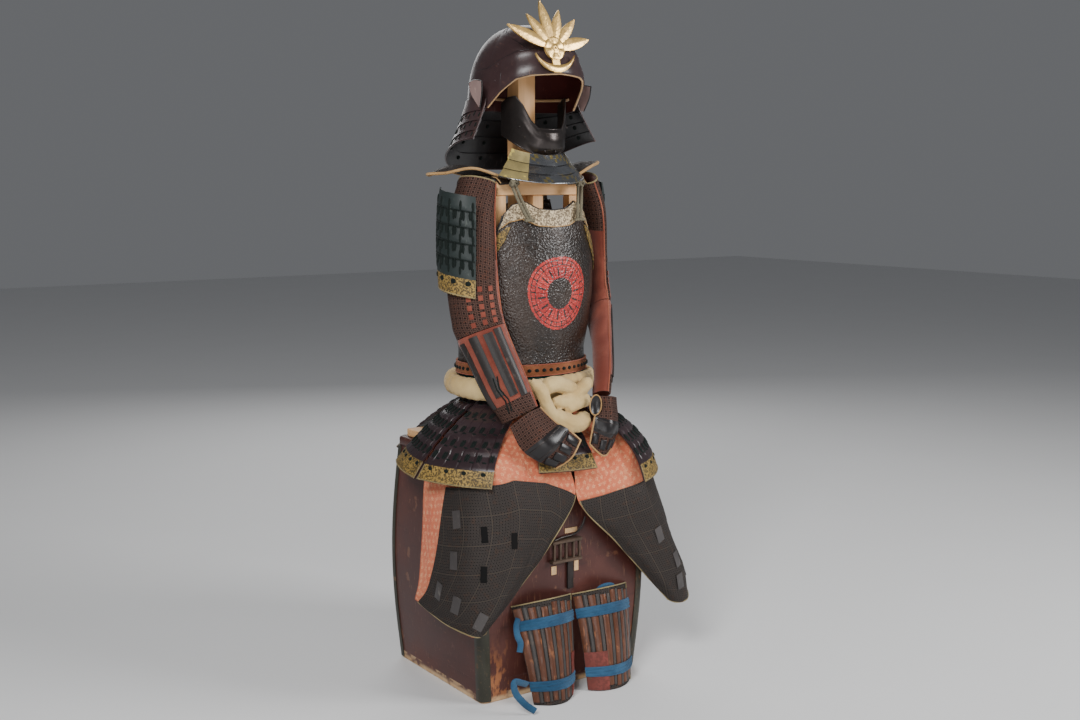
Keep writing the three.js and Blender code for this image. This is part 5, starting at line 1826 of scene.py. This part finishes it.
def build_bowl():
    def plates(u, w):
        """The bowl is plates that overlap: each raised seam fades away behind its edge."""
        front = np.minimum(w, 1 - w)
        brow = 1.0 * smooth(0.73, 0.745, u) * (1 - smooth(0.745, 0.9, u)) * (1 - smooth(0.27, 0.3, front))
        bend = np.abs(front - (0.24 - 0.16 * smooth(0.2, 0.74, u)))
        side = 0.8 * hump(bend, 0, 0.006) * smooth(0.12, 0.2, u) * (1 - smooth(0.7, 0.73, u))
        drop = 0.8 * hump(front, 0.168, 0.004) * smooth(0.74, 0.76, u)
        return 0.3 + brow + side + drop

    wall("helmet_lacquered_bowl", bowl, fine([0, 0.7, 0.73, 0.745, 1], 0.015), even(0.005),
         "lacquer", "lacquer inner_lacquer", thick=3, ring=True, pole=True,
         relief=plates, replaces=["helmet_bowl"], sharp=40, zones=lambda u, w, outer: not outer)
    edge = line_round(bowl, 1, 240)
    centre = np.array([0, HELMET["centre_y"], 1300.0])
    tubes("helmet_rolled_rim", [edge + unit(edge - centre) * 2.0], 2.0, "lacquer", "lacquer", 8,
          closed=True)
    brow = bowl(np.full(120, 1.0), np.mod(np.linspace(-0.215, 0.215, 120), 1.0))
    inward = unit(brow - centre) * [1, 1, 0]
    tubes("helmet_lining_edge", [brow - inward * 1.2 - [0, 0, 1.4]], 2.3, "brocade", "lining", 8)
    front = np.mod(np.linspace(-0.27, 0.27, 90), 1.0)
    seams = [bowl(np.full(90, 0.738), front)]
    for way in (-1, 1):
        seams.append(bowl(np.linspace(0.16, 0.73, 40), np.mod(way * np.linspace(0.24, 0.09, 40), 1.0)))
        seams.append(bowl(np.linspace(0.75, 0.97, 20), np.mod(np.full(20, way * 0.168), 1.0)))
    lines = [line + unit(line - centre) * 3.4 for line in seams]
    tubes("helmet_plate_seams", lines, 0.8, "lacquer", "dark_lacquer", 6)
    spots = [(0.77, w % 1) for w in np.linspace(-0.24, 0.24, 9)]
    spots += [(u, w % 1) for u in (0.82, 0.9) for w in (-0.185, 0.185)]
    studs("helmet_rivets", bowl, spots, (5, 5, 1.2), "lacquer", "lacquer", lift=3.6)
    bow = bowl(np.full(90, 0.93), np.linspace(0.24, 0.76, 90))
    tubes("helmet_lining_band", [bow - unit(bow - centre) * 2.2], 3.2, "brocade", "lining", 8)


def build_ears():
    for side, sign in (("right", -1), ("left", 1)):
        surface = patch([
            [(sign * 124, -2, 1336), (sign * 132, -40, 1340), (sign * 143, -84, 1334)],
            [(sign * 126, -16, 1310), (sign * 131.4, -46, 1308), (sign * 141, -80, 1308)],
            [(sign * 130, -50, 1284), (sign * 132, -58, 1281), (sign * 137, -66, 1280)],
        ])
        wall(f"ear_plate_{side}", surface, even(0.06), even(0.06), "lacquer",
             "ear_lacquer", thick=2.4, side=-sign, replaces=[f"helmet_ear_{side}"])
        rim = [([0, 0], [0, 1]), ([0, 1], [0, 0]), ([0, 1], [1, 1])]
        cords_on(f"ear_rim_{side}", surface, rim, 1.2, 24, 1.5, "lacquer", "dark_lacquer", 6, -sign)


NECK = {"turns": (76, 284), "half_x": (122.2, 166), "half_y": (137.2, 194), "top": 1300,
        "low": (1152, 1214)}
NECK_LAMES = ((0, 0.29), (0.25, 0.54), (0.5, 0.79), (0.75, 1))


def neck_guard(v, w):
    degrees = mix(*NECK["turns"], w)
    from_back = np.abs(degrees - 180) / (NECK["turns"][1] - 180)
    low = mix(*NECK["low"], smooth(0.2, 1, from_back))
    angle = np.radians(degrees)
    flare = np.maximum(v, 0) ** 1.15
    return points(mix(*NECK["half_x"], flare) * np.sin(angle),
                  HELMET["centre_y"] - mix(*NECK["half_y"], flare) * np.cos(angle),
                  mix(NECK["top"], low, v))


# How far the top of a lame is drawn in
TUCK = 3.1


def tucked(surface, low, high, tuck):
    """One lame of a guard, its top drawn in under the lame above."""

    def lame(u, w):
        v = mix(low, high, u)
        return surface(v, w) - outward(surface, v, w) * (tuck * (1 - u))[..., None]

    return lame


def build_neck_guard():
    def scales(u, w):
        return 0.6 * np.abs(np.sin(38 * math.pi * w)) * (1 - smooth(0.4, 0.7, u))

    for n, (low, high) in enumerate(NECK_LAMES):
        lame = tucked(neck_guard, low, high, TUCK if n else 0)
        wall(f"neck_guard_lame_{n + 1}", lame, even(0.1), even(0.004), "lacquer",
             "lacquer dark_lacquer", thick=2, replaces=[f"neck_lame_{n + 1}"],
             relief=scales if n else None,
             zones=lambda u, w, outer: not outer)
        if n:
            spots = [(0.36 + 0.14 * (k % 2), (k + 0.5) / 30) for k in range(30)]
            knots_on(f"neck_laces_{n + 1}", lame, spots, (5, 13, 1.8), lift=2.0)
            inner = [(0.3, w) for w in (0.08, 0.22, 0.36, 0.5, 0.64, 0.78, 0.92)]
            knots_on(f"neck_inner_knots_{n + 1}", lame, inner, (9, 10, 4), side=-1)
    edge = [line_on(neck_guard, [0.997, 0.997], [0, 1], 1.0, 1, 120)]
    edge += [line_on(neck_guard, [0.02, 1], [w, w], 1.2, 1, 50) for w in (0.002, 0.998)]
    tubes("neck_guard_rolled_edge", edge, 1.9, "lacquer", "lacquer", 8)


CREST = {"place": (-14, -161.4, 1402), "lean": -14, "thick": 4.0}
SUN_PETALS = 6
# Length, half width and lean in degrees
CREST_LEAVES = [(120, 13, -68), (92, 12, -40), (104, 13, -12), (88, 12, 16), (92, 12, 44), (98, 13, 76)]


def polar(radius, angle):
    return np.stack([radius * np.cos(angle), radius * np.sin(angle)], axis=-1)


def crest_place(flat, rise):
    """Turns the crest's flat sizes, and the height above its face, into the object's frame."""
    lean = math.radians(CREST["lean"])
    x, z = flat[..., 0], flat[..., 1]
    y = -rise
    turned_y = y * math.cos(lean) - z * math.sin(lean)
    turned_z = y * math.sin(lean) + z * math.cos(lean)
    return points(x, turned_y, turned_z) + np.asarray(CREST["place"], float)


def crest_plate(flat_surface, us, ws, ridge):
    u, w = crossed(us, ws)
    flat = flat_surface(u, w)
    rise = CREST["thick"] + ridge(u, w)
    return shell_parts(crest_place(flat, np.zeros_like(u)), crest_place(flat, rise))


def build_crest():
    parts = []
    for length, half_width, lean in CREST_LEAVES:
        turn = math.radians(lean)

        def leaf(u, w, length=length, half_width=half_width, turn=turn):
            half = half_width * np.sin(math.pi * clamp(u, 0.004, 0.996)) ** 0.8
            x, z = half * (2 * w - 1), length * u
            return np.stack([x * math.cos(turn) + z * math.sin(turn),
                             z * math.cos(turn) - x * math.sin(turn)], axis=-1)

        parts.append(crest_plate(leaf, steps(28), steps(12),
                                 lambda u, w: 2.2 * (1 - np.abs(2 * w - 1)) ** 0.7 * np.sin(math.pi * u)
                                 + 0.35 * np.cos(60 * u - 9 * np.abs(2 * w - 1))))

    def moon(u, w):
        return polar(52 - 16 * np.sin(math.pi * clamp(u, 0.01, 0.99)) * w, np.radians(mix(195, 345, u)))

    parts.append(crest_plate(moon, steps(40), steps(8), lambda u, w: 1.8 * np.sin(math.pi * w)))

    u, w = crossed(steps(12), steps(48))
    petals = 1.4 * np.abs(np.sin(SUN_PETALS * TURN * w / 2))
    petals = petals * smooth(0.3, 0.5, u) * (1 - smooth(0.88, 1, u))
    rise = 5.5 + petals + 2.5 * hump(u, 0.1, 0.2)
    sun = polar(mix(1.5, 25, u), TURN * w)
    parts.append(shell_parts(crest_place(sun, np.zeros_like(u)), crest_place(sun, rise), ring=True))
    tab = np.asarray([[(-9.0, z), (9.0, z)] for z in (-52.0, 6.0)])
    parts.append(shell_parts(*(crest_place(tab, np.full((2, 2), rise)) for rise in (0.0, CREST["thick"]))))
    make_piece("gilt_crest", *gather(parts), "gilt", "gilt", ["helmet_crest"], 34)


# Face
class ARMOUR_OT_face(bpy.types.Operator):
    """Builds the half mask and the throat guard"""

    bl_idname = "armour.face"
    bl_label = "Face"
    bl_options = UNDOABLE

    def execute(self, context):
        build_mask()
        build_throat()
        return {"FINISHED"}


# The face's middle, behind the mask and the throat guard
FACE_Y = -50
MASK = {"turn": 88, "half_x": 74, "half_y": 84}
MASK_TOP = [(0, 1234), (24, 1236), (36, 1254), (48, 1286), (60, 1305), (74, 1302), (90, 1288)]
MASK_LOW = [(0, 1180), (30, 1183), (50, 1196), (70, 1212), (90, 1228)]


def mask(u, w):
    degrees = mix(-MASK["turn"], MASK["turn"], w)
    away = np.abs(degrees)
    z = mix(lookup(MASK_TOP, away), lookup(MASK_LOW, away), u)
    chin = hump(away, 0, 34)
    radius = 1 + 0.07 * chin * np.sin(math.pi * np.minimum(u * 1.3, 1)) - 0.28 * chin * smooth(0.72, 1, u)
    angle = np.radians(degrees)
    return points(MASK["half_x"] * radius * np.sin(angle),
                  FACE_Y - MASK["half_y"] * radius * np.cos(angle), z)


def build_mask():
    wall("half_mask_plate", mask, even(0.025), even(0.0125), "iron", "iron",
         thick=2.4, relief=lambda u, w: 1.2 * hump(u, 0.16, 0.08) * hump(w, 0.5, 0.16)
         + 0.9 * hump(u, 0.4, 0.1) * hump(np.abs(w - 0.5), 0.2, 0.08), replaces=["half_mask"])
    rim = [([0, 0], [0, 1]), ([1, 1], [0, 1])]
    cords_on("half_mask_rim", mask, rim, 1.2, 90, 1.7, "iron", "iron")
    studs("half_mask_pegs", mask, [(0.55, 0.2), (0.55, 0.8), (0.8, 0.44), (0.8, 0.56)], (5, 5, 4), "iron",
          "iron", lift=2.2)


THROAT = {"turn": 66, "half_x": (72, 122), "half_y": (74, 114), "z": (1179.4, 1119), "rise": 26}
THROAT_LAMES = ((0, 0.38), (0.32, 0.7), (0.64, 1))


def throat(v, w):
    angle = np.radians(mix(-THROAT["turn"], THROAT["turn"], w))
    flare = np.maximum(v, 0) ** 1.2
    return points(mix(*THROAT["half_x"], flare) * np.sin(angle),
                  FACE_Y - mix(*THROAT["half_y"], flare) * np.cos(angle),
                  mix(*THROAT["z"], v) + THROAT["rise"] * (1 - np.cos(angle)))


def build_throat():
    for n, (low, high) in enumerate(THROAT_LAMES):
        lame = tucked(throat, low, high, TUCK if n else 0)
        wall(f"throat_guard_lame_{n + 1}", lame, even(0.1), even(0.01), "steel",
             "steel check dark_lacquer", thick=2, replaces=[f"throat_lame_{n + 1}"],
             relief=lambda u, w: 0.4 * np.sin(math.pi * u),
             zones=lambda u, w, outer: int(w < 0.24) if outer else 2)
    cords_on("throat_guard_rim", throat, [([0.995, 0.995], [0, 1])], 1.2, 70, 1.6, "steel", "steel")


# Shin guards
class ARMOUR_OT_shins(bpy.types.Operator):
    """Builds the shin guards, their splints and blue ties"""

    bl_idname = "armour.shins"
    bl_label = "Shin guards"
    bl_options = UNDOABLE

    def execute(self, context):
        for side, form in SHINS.items():
            build_shin(side, form)
        build_tie_end()
        return {"FINISHED"}


SHINS = {
    "right": {"top_x": -66, "low_x": -66, "top_half": 78, "low_half": 50, "top_z": 222, "top_y": -188.7,
              "low_y": -236},
    "left": {"top_x": 94, "low_x": 88, "top_half": 74, "low_half": 58, "top_z": 220, "top_y": -188.7,
             "low_y": -236},
}
TIE_ROWS = {"high": (0.15, 0.25), "low": (0.75, 0.85)}
SPLINTS = 6


def shin_surface(form):
    def surface(u, w):
        across = 2 * w - 1
        half = mix(form["top_half"], form["low_half"], np.maximum(u, 0) ** 0.9)
        swell = 1 - across * across
        z = mix(form["top_z"] - 9 * across * across + 3 * swell, 0, u)
        y = mix(form["top_y"], form["low_y"], u) - mix(34, 30, u) * swell - 6 * np.sin(math.pi * u)
        return points(mix(form["top_x"], form["low_x"], u) + half * across, y, np.maximum(z, 0))

    return surface


def tie_folds(u, w):
    return 0.7 * np.sin(190 * u + 6 * w) + 0.5 * np.sin(23 * w) * np.sin(90 * u)


def build_shin(side, form):
    surface = shin_surface(form)
    wall(f"shin_cloth_{side}", surface, fine([0, 0.995], 0.03), even(0.02), "splint",
         "mail", thick=2.6, replaces=[f"shin_guard_{side}"], sharp=50)
    for name, share, offset, rise in (("brown_splint", 0.56, 0.04, 2.6), ("grey_splint", 0.3, 0.65, 3.0)):
        parts = []
        for n in range(SPLINTS):
            low, high = (n + offset) / SPLINTS, (n + offset + share) / SPLINTS
            start = 0.03 + 0.014 * ((n * 7) % 3)
            u, w = crossed(fine([start, 0.965 - 0.01 * (n % 3)], 0.02), np.linspace(low, high, 7))
            grid = surface(u, w)
            normal = outward(surface, u, w)
            bow = np.sqrt(np.maximum(0, 1 - np.linspace(-0.96, 0.96, 7) ** 2))
            dents = 1 + 0.22 * np.sin(31 * u + 2.3 * n) + 0.12 * np.sin(67 * u + n)
            crown = 0.5 + rise * 0.75 * bow * (dents if share > 0.5 else np.ones_like(u))
            parts.append(shell_parts(grid + normal * 2.8, grid + normal * (2.8 + crown)[..., None]))
        make_piece(f"shin_{name}s_{side}", *gather(parts), "splint", name, (), 40)
    for level, rows in TIE_ROWS.items():
        tie = wall(f"shin_tie_{level}_{side}", surface, fine(rows, 0.008), even(0.012), "indigo_cloth",
                   "indigo", thick=1.8, lift=6.1, relief=tie_folds,
                   replaces=[f"shin_band_{level}_{side}"], sharp=70)
    inner, rows = ((0.84, 0.99), (0.55, 0.97)) if side == "right" else ((0.01, 0.34), (0.6, 0.99))
    wall(f"shin_patch_{side}", surface, fine(rows, 0.03), fine(inner, 0.02), "red_brown_cloth",
         "patch", thick=1.2, lift=5.0, relief=lambda u, w: 0.6 * np.sin(19 * u + 11 * w))
    edge = [([0, 0], [0, 1]), ([0, 1], [1, 1])]
    cords_on(f"shin_binding_{side}", surface, edge, 3.0, 40, 1.5, "splint", "khaki", 6)


def build_tie_end():
    """The loose end of the right guard's tie, a flat band that runs down to the floor."""
    line = [(-134.5, -236.5, 50), (-158, -254, 64), (-186, -264, 76), (-184, -266, 52), (-166, -274, 26),
            (-146, -284, 9)]
    band = tube_parts(curve(line, 60), 7.4, 10, flat=0.34, up=(0.2, 1, 0.1))
    tie = make_piece("shin_tie_loose_end", *band, "indigo_cloth", "indigo", ["shin_tie_right"], 60)
    drops = [(-138, -207, 190), (-147, -214, 176), (-149, -221, 158), (-143, -224, 140), (-147, -226, 122)]
    band = tube_parts(curve(drops, 30), 7.0, 10, flat=0.34, up=(0.3, 1, 0.1))
    upper = make_piece("shin_tie_upper_end", *band, "indigo_cloth", "indigo", (), 60)
    turn = np.linspace(0.1, math.pi - 0.1, 24)
    loop = points(92 + 24 * np.cos(turn), -216 - 3 * np.sin(turn), 216 + 11 * np.sin(turn))
    tubes("shin_tie_loop_left", [loop], 4.6, "indigo_cloth", "indigo", 8, flat=0.4, up=(0, 1, 0))


# The panel and the run
STAGES = ("stage", "chest", "stand", "cuirass", "sash", "tassets", "thighs", "sleeves", "shoulders",
          "helmet", "face", "shins")


class ARMOUR_PT_panel(bpy.types.Panel):
    bl_idname = "ARMOUR_PT_panel"
    bl_label = "Armour"
    bl_space_type = "VIEW_3D"
    bl_region_type = "UI"
    bl_category = "Armour"

    def draw(self, context):
        for group in (context.scene.armour_looks, context.scene.armour_sizes):
            for name in group.__annotations__:
                self.layout.prop(group, name)
        for key in STAGES:
            self.layout.operator(f"armour.{key}")


CLASSES = (
    ArmourLooks, ArmourSizes, ARMOUR_OT_stage, ARMOUR_OT_chest, ARMOUR_OT_stand, ARMOUR_OT_cuirass,
    ARMOUR_OT_sash, ARMOUR_OT_tassets, ARMOUR_OT_thighs, ARMOUR_OT_sleeves, ARMOUR_OT_shoulders,
    ARMOUR_OT_helmet, ARMOUR_OT_face, ARMOUR_OT_shins, ARMOUR_PT_panel,
)


def register():
    for cls in CLASSES:
        bpy.utils.register_class(cls)
    bpy.types.Scene.armour_looks = PointerProperty(type=ArmourLooks)
    bpy.types.Scene.armour_sizes = PointerProperty(type=ArmourSizes)


def unregister():
    del bpy.types.Scene.armour_sizes
    del bpy.types.Scene.armour_looks
    for cls in reversed(CLASSES):
        bpy.utils.unregister_class(cls)


def main():
    register()
    make_finishes(bpy.context.scene.armour_looks)
    for key in STAGES:
        getattr(bpy.ops.armour, key)()
    bpy.context.view_layer.update()


if __name__ == "__main__":
    main()
